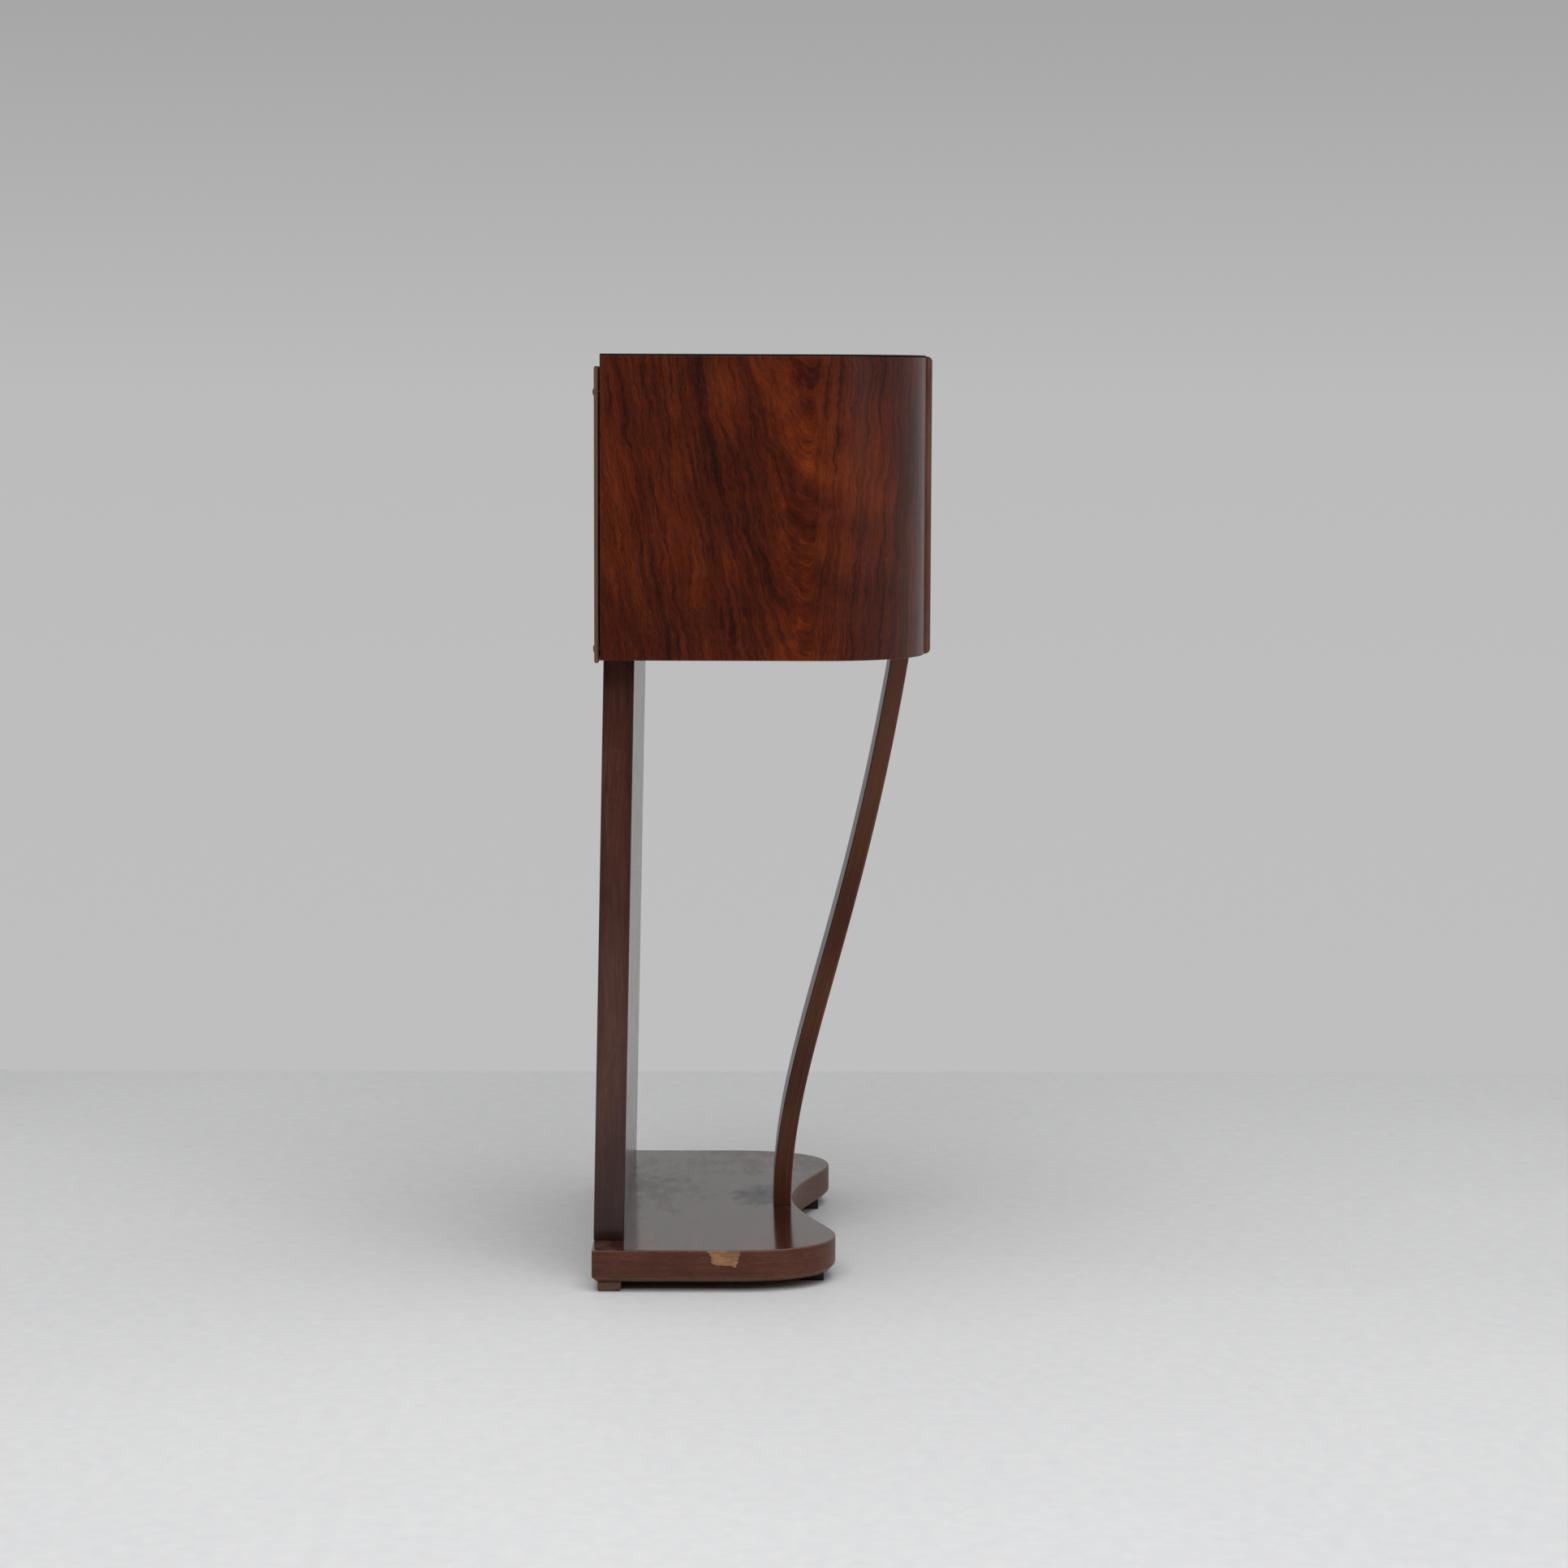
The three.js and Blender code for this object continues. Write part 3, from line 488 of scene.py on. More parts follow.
def end_grain(name):
    """Sawn softwood block: growth rings on its end, with dirt and dark stains."""
    wood = Finish(name, {"Roughness": 0.8})
    place = wood.place(shift=(0.0, -0.17, 0.03))
    _, depth, height = wood.parts(place)
    ring = (depth * depth + height * height) ** 0.5
    bands = wood.noise(wood.vector(ring * 420.0, 0.0), 1.0, detail=1.0)
    grit = wood.noise(place, 700.0, detail=3.0)
    figure = wood.ramp(bands * 0.6 + grit * 0.4, [
        (0.30, srgb(66, 46, 33)), (0.52, srgb(98, 70, 50)), (0.72, srgb(128, 98, 72))])
    stain = wood.step(wood.noise(place, 140.0, detail=2.0), 0.60, 0.72)
    wood.colour(wood.mix(stain * 0.7, figure, srgb(40, 27, 20)))
    wood.bump(grit + bands, 0.0003)
    return wood.material


def speaker_cloth(name):
    """Plain weave of two threads, faded, with soot where the air passes."""
    cloth = Finish(name, {"Roughness": 0.9, "Sheen Weight": 0.3})
    across, _, height = cloth.parts(cloth.place())
    pitch = 2 * math.pi / 0.0024
    warp = cloth.math("SINE", across * pitch)
    weft = cloth.math("SINE", height * pitch)
    weave = warp * weft
    slub = cloth.noise(cloth.place(scale=(1, 1, 9)), 160.0, detail=2.0)
    shade_and_soot = cloth.noise(cloth.place(), 14.0, detail=3.0)
    tone = weave * 0.15 + slub * 0.42 + shade_and_soot * 0.42 + 0.08
    cloth.colour(cloth.ramp(tone, [
        (0.30, srgb(96, 72, 44)), (0.5, srgb(160, 130, 88)), (0.70, srgb(204, 176, 128))]))
    cloth.bump(weave + slub * 0.4, 0.0003)
    return cloth.material


def clear_glass(name, tint=(0.95, 0.97, 0.96), smoke=0.0):
    """Thin old glass with faint dust on it."""
    glass = Finish(name, {"Transmission Weight": 1.0, "IOR": 1.45})
    dust = glass.noise(glass.place(), 120.0, detail=4.0)
    dusty = [channel * (0.9 - smoke) for channel in tint]
    glass.colour(glass.mix(glass.step(dust, 0.45, 0.75), tint, dusty))
    glass.roughness(glass.step(dust, 0.5, 0.8) * 0.12 + 0.02)
    return glass.material


def fibre_board(name):
    """Matt pressed board, brown, with short fibres and a paler rubbed edge."""
    board = Finish(name, {"Roughness": 0.8})
    place = board.place()
    fibres = board.noise(board.place(scale=(1, 1, 2)), 240.0, detail=5.0, roughness=0.75)
    cloud = board.noise(place, 9.0, detail=5.0, roughness=0.6)
    spot = board.step(board.noise(place, 90.0, detail=2.0), 0.66, 0.74)
    tone = board.ramp(fibres * 0.68 + cloud * 0.32, [
        (0.3, srgb(72, 53, 42)), (0.5, srgb(98, 74, 58)), (0.7, srgb(124, 98, 78))])
    across, _, _ = board.parts(place)
    rubbed = board.step(abs(across) + fibres * 0.002, COVER_HIGH.x - 0.004, COVER_HIGH.x - 0.001)
    edged = board.mix(rubbed * 0.7, tone, srgb(120, 78, 56))
    board.colour(board.mix(spot * 0.5, edged, srgb(54, 38, 30)))
    board.roughness(fibres * 0.2 + 0.68)
    board.bump(fibres, 0.0003)
    return board.material


# ------------------------------------------------------------------ mesh building
def arc(centre, radius, start, end, steps):
    """Points of a circular arc, in degrees."""
    angles = [math.radians(start + (end - start) * i / steps) for i in range(steps + 1)]
    return [Vector((centre[0] + radius * math.cos(a), centre[1] + radius * math.sin(a))) for a in angles]


def bezier(p, q, r, s, steps):
    """Points of a cubic curve, without its first."""
    curve = []
    for i in range(1, steps + 1):
        t = i / steps
        weights = ((1 - t) ** 3, 3 * t * (1 - t) ** 2, 3 * t * t * (1 - t), t ** 3)
        shares = [Vector(point) * weight for point, weight in zip((p, q, r, s), weights)]
        curve.append(sum(shares, Vector((0, 0))))
    return curve


def inset(outline, distance):
    """Outline moved inwards, corner by corner; the outline runs anticlockwise."""
    moved = []
    for i, corner in enumerate(outline):
        before = (corner - outline[i - 1]).normalized()
        after = (outline[(i + 1) % len(outline)] - corner).normalized()
        reach = distance / (1 + before.dot(after))
        both = before + after
        moved.append(Vector((corner.x - both.y * reach, corner.y + both.x * reach)))
    return moved


def rounded_edge(radius, steps):
    """(depth, inset) pairs of a quarter-round edge, from the face inwards."""
    angles = [math.pi / 2 * i / steps for i in range(steps + 1)]
    return [(radius * (1 - math.cos(a)), radius * (1 - math.sin(a))) for a in angles]


def rounded_rectangle(low, high, radius, steps=6):
    """Anticlockwise outline of a rectangle with round corners."""
    corners = [(high[0] - radius, low[1] + radius, -90), (high[0] - radius, high[1] - radius, 0),
               (low[0] + radius, high[1] - radius, 90), (low[0] + radius, low[1] + radius, 180)]
    return [p for x, y, start in corners for p in arc((x, y), radius, start, start + 90, steps)]


def rectangle(low, high):
    return [Vector(p) for p in (low, (high[0], low[1]), high, (low[0], high[1]))]


def stack(rings):
    """Closed body through rings of equal counts, capped at its ends."""
    made = bmesh.new()
    rows = [[made.verts.new(point) for point in ring] for ring in rings]
    for lower, upper in zip(rows, rows[1:]):
        for i in range(len(lower)):
            j = (i + 1) % len(lower)
            made.faces.new((lower[i], lower[j], upper[j], upper[i]))
    made.faces.new(reversed(rows[0]))
    made.faces.new(rows[-1])
    return made


def upright_board(outline, levels):
    """Board lying flat, whose outline is drawn in at each (height, inset) level."""
    return stack([[(p.x, p.y, z) for p in inset(outline, by)] for z, by in levels])


def pierced_plate(outline, holes, front, back, edge, hole_edge, back_edge=None):
    """Plate across Y with holes. Outlines run anticlockwise in X and Z.

    edge, hole_edge and back_edge are (depth, inset) pairs from the plate's faces inwards; back_edge
    rounds the outline alone.
    """
    made = bmesh.new()
    faces = {"front": [], "back": []}
    square = [(0.0, 0.0)]
    contours = [(outline, edge, back_edge or square, 1)] + [(hole, hole_edge, square, -1) for hole in holes]
    for contour, profile, rear_profile, sign in contours:
        levels = [(front + depth, by) for depth, by in profile]
        levels += [(back - depth, by) for depth, by in reversed(rear_profile)]
        rows = [[made.verts.new((p.x, y, p.y)) for p in inset(contour, sign * by)] for y, by in levels]
        for near, far in zip(rows, rows[1:]):
            for i in range(len(near)):
                j = (i + 1) % len(near)
                made.faces.new((near[i], far[i], far[j], near[j]))
        for side, row in (("front", rows[0]), ("back", rows[-1])):
            faces[side] += [made.edges.get((row[i - 1], row[i])) for i in range(len(row))]
    for side in faces.values():
        bmesh.ops.triangle_fill(made, edges=side, use_beauty=True)
    bmesh.ops.recalc_face_normals(made, faces=made.faces)
    return made


def turned(profile, centre, sides=48, upright=False, flute=0.0, flutes=24, fluted=()):
    """Turned body from (radius, level) pairs: along Y at centre (x, z), or upright at centre (x, y).

    Rows whose index is in fluted get a wavy rim of that depth and count.
    """
    def spot(across, other, level):
        place = (centre[0] + across, centre[1] + other)
        return (*place, level) if upright else (place[0], level, place[1])
    made = bmesh.new()
    rows = []
    for index, (radius, level) in enumerate(profile):
        if radius == 0:
            rows.append([made.verts.new(spot(0.0, 0.0, level))])
            continue
        row = []
        for i in range(sides):
            angle = 2 * math.pi * i / sides
            depth = flute * (0.5 - 0.5 * math.cos(flutes * angle)) if index in fluted else 0.0
            reach = radius - depth
            row.append(made.verts.new(spot(reach * math.cos(angle), reach * math.sin(angle), level)))
        rows.append(row)
    closing = [rows[0]] if len(rows[0]) > 1 else []
    for near, far in zip(rows, rows[1:] + closing):
        for i in range(sides):
            j = (i + 1) % sides
            ring = [near[i % len(near)], near[j % len(near)], far[j % len(far)], far[i % len(far)]]
            corners = list(dict.fromkeys(ring))
            if len(corners) > 2:
                made.faces.new(corners)
    bmesh.ops.recalc_face_normals(made, faces=made.faces)
    return made


def unwrap(made, rule):
    """Gives every face corner a place on the map, from rule(face, vertex)."""
    layer = made.loops.layers.uv.new("map")
    for face in made.faces:
        for loop in face.loops:
            loop[layer].uv = rule(face, loop.vert)


def joined(*parts):
    """One bmesh that holds several."""
    made = bmesh.new()
    for part in parts:
        mesh = bpy.data.meshes.new("part")
        part.to_mesh(mesh)
        part.free()
        made.from_mesh(mesh)
        bpy.data.meshes.remove(mesh)
    return made


def block(low, high):
    """Box between two corners."""
    plan = rectangle((low[0], low[1]), (high[0], high[1]))
    return stack([[(p.x, p.y, z) for p in plan] for z in (low[2], high[2])])


def millimetres(pairs, shift=0.0):
    """(radius, level) pairs in metres from pairs in millimetres, with the level shifted in metres."""
    return [(radius * MM, level * MM + shift) for radius, level in pairs]


def settle(made_piece, slot, body, stands_for=()):
    """Puts a piece on its body and hides the CAD nodes it stands for; slot is not used."""
    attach(made_piece, body)
    if stands_for:
        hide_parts(*stands_for)
    return made_piece


def soften(made_piece, width, segments=2):
    """Rounds a piece's edges with a Bevel modifier."""
    rounding = made_piece.modifiers.new("rounding", "BEVEL")
    rounding.width = width
    rounding.segments = segments
    rounding.limit_method = "ANGLE"
    rounding.angle_limit = math.radians(40)
    return rounding


def piece(name, made, finishes, slot, body=ROOT, stands_for=(), bevel=0.0, smooth=35.0, segments=2,
          level=True):
    """Turns a finished bmesh into a piece that rides on a body and stands for CAD nodes.

    level keeps its large faces shaded flat right up to their rounded edges.
    """
    mesh = bpy.data.meshes.new(name)
    made.to_mesh(mesh)
    made.free()
    for finish in finishes if isinstance(finishes, (list, tuple)) else [finishes]:
        mesh.materials.append(finish)
    mesh.shade_smooth()
    mesh.set_sharp_from_angle(angle=math.radians(smooth))
    made_piece = bpy.data.objects.new(name, mesh)
    bpy.context.scene.collection.objects.link(made_piece)
    if bevel:
        soften(made_piece, bevel, segments)
    if level:
        flat = made_piece.modifiers.new("flat_faces", "WEIGHTED_NORMAL")
        flat.keep_sharp = True
    return settle(made_piece, slot, body, stands_for)


def merged_copy(node):
    """Merged copy of a CAD node's mesh, with its flat faces made whole."""
    made = bmesh.new()
    made.from_mesh(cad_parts[node].data)
    made.transform(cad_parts[node].matrix_world)
    bmesh.ops.remove_doubles(made, verts=made.verts, dist=1e-6)
    bmesh.ops.dissolve_limit(
        made, angle_limit=math.radians(1), verts=made.verts, edges=made.edges)
    return made


def eased(node, finish, slot, body=ROOT, bevel=0.6 * MM, smooth=35.0, segments=2):
    """Copy of a CAD node with eased edges, which stands for it."""
    return piece(f"{node}_eased", merged_copy(node), finish, slot, body, [node], bevel, smooth, segments)


def refinish(node, finish):
    """Gives a CAD node that stays as it is a better finish."""
    for material_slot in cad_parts[node].material_slots:
        material_slot.material = finish


# ------------------------------------------------------------------ sizes read from the frame
def middle(node):
    """Middle of a CAD node's box."""
    low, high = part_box(node)
    return (low + high) / 2


PLINTH_LOW, PLINTH_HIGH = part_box("plinth")
PLINTH_BOTTOM, PLINTH_TOP = PLINTH_LOW.z, PLINTH_HIGH.z
CAB_LOW, CAB_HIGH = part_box("cabinet_wrap")
TOP_LOW, TOP_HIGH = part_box("top_panel")
FASCIA_LOW, FASCIA_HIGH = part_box("fascia_board")
COVER_LOW, COVER_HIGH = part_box("back_cover")
DIAL = middle("drive_disc")
DIAL_RADIUS = 50 * MM
SCALE_START, SCALE_SWEEP = 12, 156     # where the printed scale starts and how far it goes, in degrees
SPEAKER = middle("speaker_magnet")
ARC_RADII = 24 * MM, 33 * MM           # the two arcs printed on the scale
GRILLE = (-0.100, 0.836), (0.100, 0.972)
NICHE = (-0.100, 0.694), (0.100, 0.742)
NICHE_CORNER = 10 * MM


# ------------------------------------------------------------------ stand
def plinth_outline(steps=26):
    """Plan of the plinth: straight back and sides, two round lobes and a notch between them."""
    half = PLINTH_HIGH.x
    rear = PLINTH_HIGH.y
    shoulder = rear - 150 * MM
    tip = rear - 263 * MM
    notch = rear - 217 * MM
    lobe = 180 * MM
    right = bezier((0, notch), (72 * MM, notch), (148 * MM, tip), (lobe, tip), steps)
    right += bezier((lobe, tip), (235 * MM, tip), (half, shoulder - 65 * MM), (half, shoulder), steps)
    right.append(Vector((half, rear)))
    left = [Vector((-p.x, p.y)) for p in reversed(right)]
    return [Vector((0, notch))] + right + left


def add_plinth():
    """Plinth with a chamfer below and a veneered edge and top."""
    outline = plinth_outline()
    chamfer = 5.5 * MM
    soft = 1.1 * MM
    levels = [(PLINTH_BOTTOM, chamfer), (PLINTH_BOTTOM + chamfer * 0.92, chamfer * 0.10),
              (PLINTH_BOTTOM + chamfer * 1.15, 0.0), (PLINTH_TOP - soft, 0.0),
              (PLINTH_TOP - soft * 0.3, soft * 0.3), (PLINTH_TOP, soft), (PLINTH_TOP, soft * 3)]
    made = upright_board(outline, levels)
    made.normal_update()
    count = len(outline)
    lengths = [0.0]
    for i in range(1, count):
        lengths.append(lengths[-1] + (outline[i] - outline[i - 1]).length)
    made.verts.index_update()
    unwrap(made, lambda face, vert: (lengths[vert.index % count], vert.co.z))
    for face in made.faces:
        face.material_index = 1 if face.normal.z > 0.9 else 0
    piece("plinth_veneered", made, [edge_band("plinth_edge"), polished_top("plinth_top")], "edge_wood",
          stands_for=["plinth"], smooth=50)


def add_strut():
    """Bent laminated strut: vertical at its foot, leaning forward to the cabinet."""
    low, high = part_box("front_strut")
    half, thick = high.x, 19.8 * MM
    foot = CAD_BOX[1].y - 206 * MM
    head = CAD_BOX[1].y - 336.6 * MM
    span, rise = foot - head, high.z - low.z
    curve = [Vector((foot, low.z))] + bezier(
        (foot, low.z), (foot, low.z + 0.265 * rise), (foot - 0.586 * span, low.z + 0.466 * rise),
        (head, high.z), 60)
    section = rounded_rectangle((-half, -thick / 2), (half, thick / 2), 1.6 * MM, 3)
    rings = []
    lengths = []
    for i, point in enumerate(curve):
        ahead = curve[min(i + 1, len(curve) - 1)] - curve[max(i - 1, 0)]
        stretch = ahead.length / ahead.y
        rings.append([(p.x, point.x + p.y * stretch, point.y) for p in section])
        lengths.append(point.y)
    made = stack(rings)
    bmesh.ops.recalc_face_normals(made, faces=made.faces)
    made.verts.index_update()
    made.normal_update()

    def rule(face, vert):
        layer = section[vert.index % len(section)]
        return (layer.y if abs(face.normal.x) > 0.7 else 0.1 + layer.x, vert.co.z)
    unwrap(made, rule)
    piece("front_strut_bent", made, laminated("strut_laminate"), "strut_wood", stands_for=["front_strut"])


def laminated(name):
    """Bent laminate: fibres run along the strut, and its layers show as lines on its sides."""
    wood = Finish(name, {"Coat Weight": 0.08, "Coat Roughness": 0.2, "Specular IOR Level": 0.2})
    across, along, _ = wood.parts(wood.place(uv=True))
    sway = wood.noise(wood.place(scale=(20, 5, 1), uv=True), 1.0, detail=2.0) - 0.5
    layer = wood.noise(wood.vector((across + sway * 0.003) * 330.0, along * 1.2, 4.0), 1.0, detail=1.0)
    fibres = wood.noise(wood.vector(across * 1100.0, along * 22.0), 1.0, detail=3.0, roughness=0.6)
    cloud = wood.noise(wood.place(), 7.0, detail=2.0)
    tone = layer * 0.38 + fibres * 0.32 + cloud * 0.42 - 0.06
    figure = wood.ramp(tone, [
        (0.32, srgb(54, 27, 17)), (0.50, srgb(82, 44, 27)), (0.68, srgb(112, 67, 43))])
    faded = wood.step(along, 0.36, 0.66) * 0.85
    sunned = wood.mix(faded, figure, srgb(124, 82, 66))
    # painted shade: the strut darkens just above the plinth top, where its foot stands
    strut_foot_shade = wood.step(along + sway * 0.05, PLINTH_TOP + 0.05, PLINTH_TOP) * 0.12
    wood.colour(wood.mix(strut_foot_shade, sunned, srgb(48, 26, 22)))
    wood.roughness(cloud * 0.15 + 0.27)
    wood.bump(fibres, 0.00012)
    return wood.material


def add_panel_and_feet():
    """Leaning rear panel and four feet: bare end grain at the rear, stained wood at the front."""
    reds = [srgb(50, 26, 21), srgb(78, 44, 36), srgb(106, 66, 54)]
    # the panel's wood takes painted shade towards its foot, where it stands on the plinth
    panel = straight_wood("panel_wood", reds, "Z", gloss=0.26, lacquer=0.35, foot_shade=0.75)
    eased("rear_support_panel", panel, "dark_wood", bevel=1.2 * MM)
    foot = end_grain("foot_end_grain")
    browns = [srgb(22, 13, 11), srgb(34, 22, 18), srgb(50, 34, 28)]
    stained = straight_wood("foot_stained", browns, "X", gloss=0.6)
    for side in ("left", "right"):
        eased(f"foot_rear_{side}", foot, "bare_wood", bevel=2.0 * MM)
        eased(f"foot_front_{side}", stained, "dark_wood", bevel=1.0 * MM)


# ------------------------------------------------------------------ cabinet
CORNER = 117 * MM              # radius of the front corners
WALL = 10 * MM
TOP_EDGE = 2 * MM              # how much of the top panel shows above the wrap
COVER_SCREWS = [f"cover_screw_{side}_{level}" for level in ("lower", "upper") for side in ("left", "right")]


def cabinet_path(steps=40):
    """Left and right halves of a path round the cabinet's plan, from rear edge to rear edge."""
    side, rear, front = CAB_HIGH.x, CAB_HIGH.y, CAB_LOW.y
    left = [Vector((-side, rear))]
    left += [Vector((-side, rear + (front + CORNER - rear) * i / 6)) for i in range(1, 6)]
    left += arc((-side + CORNER, front + CORNER), CORNER, 180, 270, steps)
    right = [Vector((-p.x, p.y)) for p in reversed(left)]
    return left, right


def add_wrap(veneer):
    """Bent shell of the cabinet: one veneered band with an opening behind the fascia."""
    left, right = cabinet_path()
    edge = 125 * MM
    path = left + [Vector((x, CAB_LOW.y)) for x in (-edge, edge)] + right
    centre = len(path) // 2
    opening = 0.691, 0.985         # heights of its lower and upper edges
    heights = [CAB_LOW.z, *opening, TOP_HIGH.z - TOP_EDGE - 0.2 * MM]
    lengths = [0.0]
    for near, far in zip(path, path[1:]):
        lengths.append(lengths[-1] + (far - near).length)
    made = bmesh.new()
    rows = [[made.verts.new((p.x, p.y, z)) for p in path] for z in heights]
    for level in range(len(heights) - 1):
        for i in range(len(path) - 1):
            if level == 1 and i == centre - 1:
                continue
            lower, upper = rows[level], rows[level + 1]
            made.faces.new((lower[i], lower[i + 1], upper[i + 1], upper[i]))
    made.verts.index_update()
    count = len(path)

    def rule(face, vert):
        run = lengths[vert.index % count]
        return (min(run, lengths[-1] - run), vert.co.z - CAB_LOW.z)
    unwrap(made, rule)
    core_tones = [srgb(60, 38, 24), srgb(92, 60, 38), srgb(120, 84, 56)]
    core = straight_wood("wrap_core", core_tones, "Z", gloss=0.7)
    wrap = piece("cabinet_wrap_veneered", made, [veneer, core], "rosewood_veneer",
                 stands_for=["cabinet_wrap"], level=False)
    shell = wrap.modifiers.new("wall", "SOLIDIFY")
    shell.thickness = WALL
    shell.offset = -1.0
    shell.material_offset = 1
    shell.material_offset_rim = 0
    soften(wrap, 0.5 * MM).harden_normals = True


def add_top(veneer_top, dark_edge):
    """Veneered top panel: a thin lip rests on the wrap, and the panel's body fills it below."""
    left, right = cabinet_path()
    outline = left + right
    lip = TOP_HIGH.z - TOP_EDGE
    inner = WALL + 0.3 * MM
    levels = [(TOP_LOW.z, inner), (lip - 0.01 * MM, inner), (lip, 0.0), (TOP_HIGH.z - 1 * MM, 0.0),
              (TOP_HIGH.z - 0.3 * MM, 0.3 * MM), (TOP_HIGH.z, 1 * MM)]
    made = upright_board(outline, levels)
    bmesh.ops.recalc_face_normals(made, faces=made.faces)
    made.normal_update()
    unwrap(made, lambda face, vert: (vert.co.y + 0.18, vert.co.x + 0.30))
    for face in made.faces:
        face.material_index = 0 if face.normal.z > 0.8 and face.calc_center_median().z > lip else 1
    piece("top_panel_veneered", made, [veneer_top, dark_edge], "rosewood_veneer",
          stands_for=["top_panel"], smooth=30)


def dial_outline(by, steps=40):
    """Half-round opening above a flat sill, drawn in by a distance."""
    radius = DIAL_RADIUS - by
    sill = DIAL.z - 7 * MM + by
    return [Vector((-radius, sill)), Vector((radius, sill))] + arc((0, DIAL.z), radius, 0, 180, steps)


def add_fascia(veneer):
    """Veneered front board: its outer edges are rounded and lipped, and its three openings eased."""
    outline = rectangle((FASCIA_LOW.x, FASCIA_LOW.z), (FASCIA_HIGH.x, FASCIA_HIGH.z))
    holes = [rounded_rectangle(*GRILLE, 14 * MM), dial_outline(0.0),
             rounded_rectangle(*NICHE, NICHE_CORNER)]
    rounding = 6 * MM
    made = pierced_plate(outline, holes, FASCIA_LOW.y, FASCIA_HIGH.y, rounded_edge(rounding, 8),
                         rounded_edge(0.8 * MM, 3))
    unwrap(made, lambda face, vert: (vert.co.x + 0.135, vert.co.z - FASCIA_LOW.z))
    made.normal_update()
    inner = inset(outline, rounding)
    for face in made.faces:
        spot = face.calc_center_median()
        outside = not (inner[0].x < spot.x < inner[2].x and inner[0].y < spot.z < inner[2].y)
        face.material_index = 1 if outside and abs(face.normal.y) < 0.7 else 0
    lipping_tones = [srgb(78, 47, 35), srgb(104, 67, 51), srgb(130, 90, 70)]
    lipping = straight_wood("fascia_lipping", lipping_tones, "Z")
    piece("fascia_veneered", made, [veneer, lipping], "rosewood_veneer", stands_for=["fascia_board"],
          smooth=40)


def circle(x, z, radius, sides=24):
    """Anticlockwise outline of a round hole."""
    return arc((x, z), radius, 0, 360, sides)[:-1]


def add_back_cover():
    """Thin board with bullnosed edges, vent and screw holes and two windows for the plugs."""
    outline = rectangle((-COVER_HIGH.x, COVER_LOW.z), (COVER_HIGH.x, COVER_HIGH.z))
    vents = [circle(x * MM, z * MM, 8 * MM, 24) for z in (810, 850, 890) for x in range(-140, 141, 56)]
    screw_holes = [circle(*middle(node).xz, 2.2 * MM, 12) for node in COVER_SCREWS]
    half_window = Vector((38 * MM, 14 * MM))
    windows = []
    for node in ("mains_inlet", "aerial_sockets"):
        spot = middle(node).xz
        windows.append(rectangle(spot - half_window, spot + half_window))
    bullnose = rounded_edge(2.2 * MM, 6)
    made = pierced_plate(outline, vents + screw_holes + windows, COVER_LOW.y, COVER_HIGH.y, bullnose,
                         [(0.0, 0.0)], bullnose)
    piece("back_cover_board", made, fibre_board("back_board"), "back_board", stands_for=["back_cover"],
          smooth=40)


def add_cover_screws(steel):
    """Four slotted round-headed wood screws, each turned its own way."""
    low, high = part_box("cover_screw_left_lower")
    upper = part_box("cover_screw_left_upper")[1]
    radius = (high.x - low.x) / 2
    seat = COVER_HIGH.y + 0.3 * MM
    rise = upper.z - high.z
    screws = Repeat("screw_rule", Spread=-high.x - low.x, Rise=rise, Radius=radius,
                    Head=high.y - seat, Slot=1.0 * MM, Shank=seat - low.y)
    dome = screws.node("GeometryNodeMeshUVSphere", {}, {
        "Segments": 32, "Rings": 16, "Radius": screws.size("Radius")})
    flatness = screws.size("Head") / screws.size("Radius")
    squashed = screws.moved(dome, Scale=screws.vector(1.0, 1.0, flatness))
    wide = screws.size("Radius") * 3
    below = screws.node("GeometryNodeMeshCube", {}, {"Size": screws.vector(wide, wide, wide)})
    lowered = screws.moved(below, Translation=screws.vector(0.0, 0.0, wide * -0.5))
    slot = screws.node("GeometryNodeMeshCube", {}, {
        "Size": screws.vector(wide, screws.size("Slot"), screws.size("Head"))})
    raised = screws.moved(slot, Translation=screws.vector(0.0, 0.0, screws.size("Head")))
    head = screws.node("GeometryNodeMeshBoolean", {"operation": "DIFFERENCE"}, {
        0: squashed, 1: screws.join(lowered, raised)})
    shank = screws.node("GeometryNodeMeshCylinder", {}, {
        "Vertices": 16, "Radius": screws.size("Radius") * 0.42, "Depth": screws.size("Shank")})
    sunk = screws.moved(shank, Translation=screws.vector(0.0, 0.0, screws.size("Shank") * -0.5))
    grid = screws.node("GeometryNodeMeshGrid", {}, {
        "Size X": screws.size("Spread"), "Size Y": screws.size("Rise"),
        "Vertices X": 2, "Vertices Y": 2})
    turn = screws.node("FunctionNodeRandomValue", {"data_type": "FLOAT"}, {"Max": math.pi, "Seed": 5}, 1)
    placed = screws.copies(grid, screws.join(head, sunk), Rotation=screws.vector(0.0, 0.0, turn))
    centre = (0.0, seat, (high.z + low.z + rise) / 2)
    stood = screws.moved(placed, Rotation=(math.radians(-90), 0.0, 0.0), Translation=centre)
    screws.grow("cover_screws", stood, steel, "plated_steel", stands_for=COVER_SCREWS)


# ------------------------------------------------------------------ grille and dial
def add_grille(bar_wood, board_wood):
    """Three bars with rounded fronts, and the board behind them that carries the cloth."""
    for i in (1, 2, 3):
        eased(f"grille_bar_{i}", bar_wood, "edge_wood", bevel=2.2 * MM, segments=5)
    low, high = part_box("baffle_board")
    hole = circle(0.0, SPEAKER.z, 68 * MM, 72)
    baffle = pierced_plate(rectangle((low.x, low.z), (high.x, high.z)), [hole], low.y, high.y,
                           rounded_edge(0.5 * MM, 2), rounded_edge(0.5 * MM, 2))
    piece("baffle_board_sawn", baffle, board_wood, "bare_wood", stands_for=["baffle_board"])


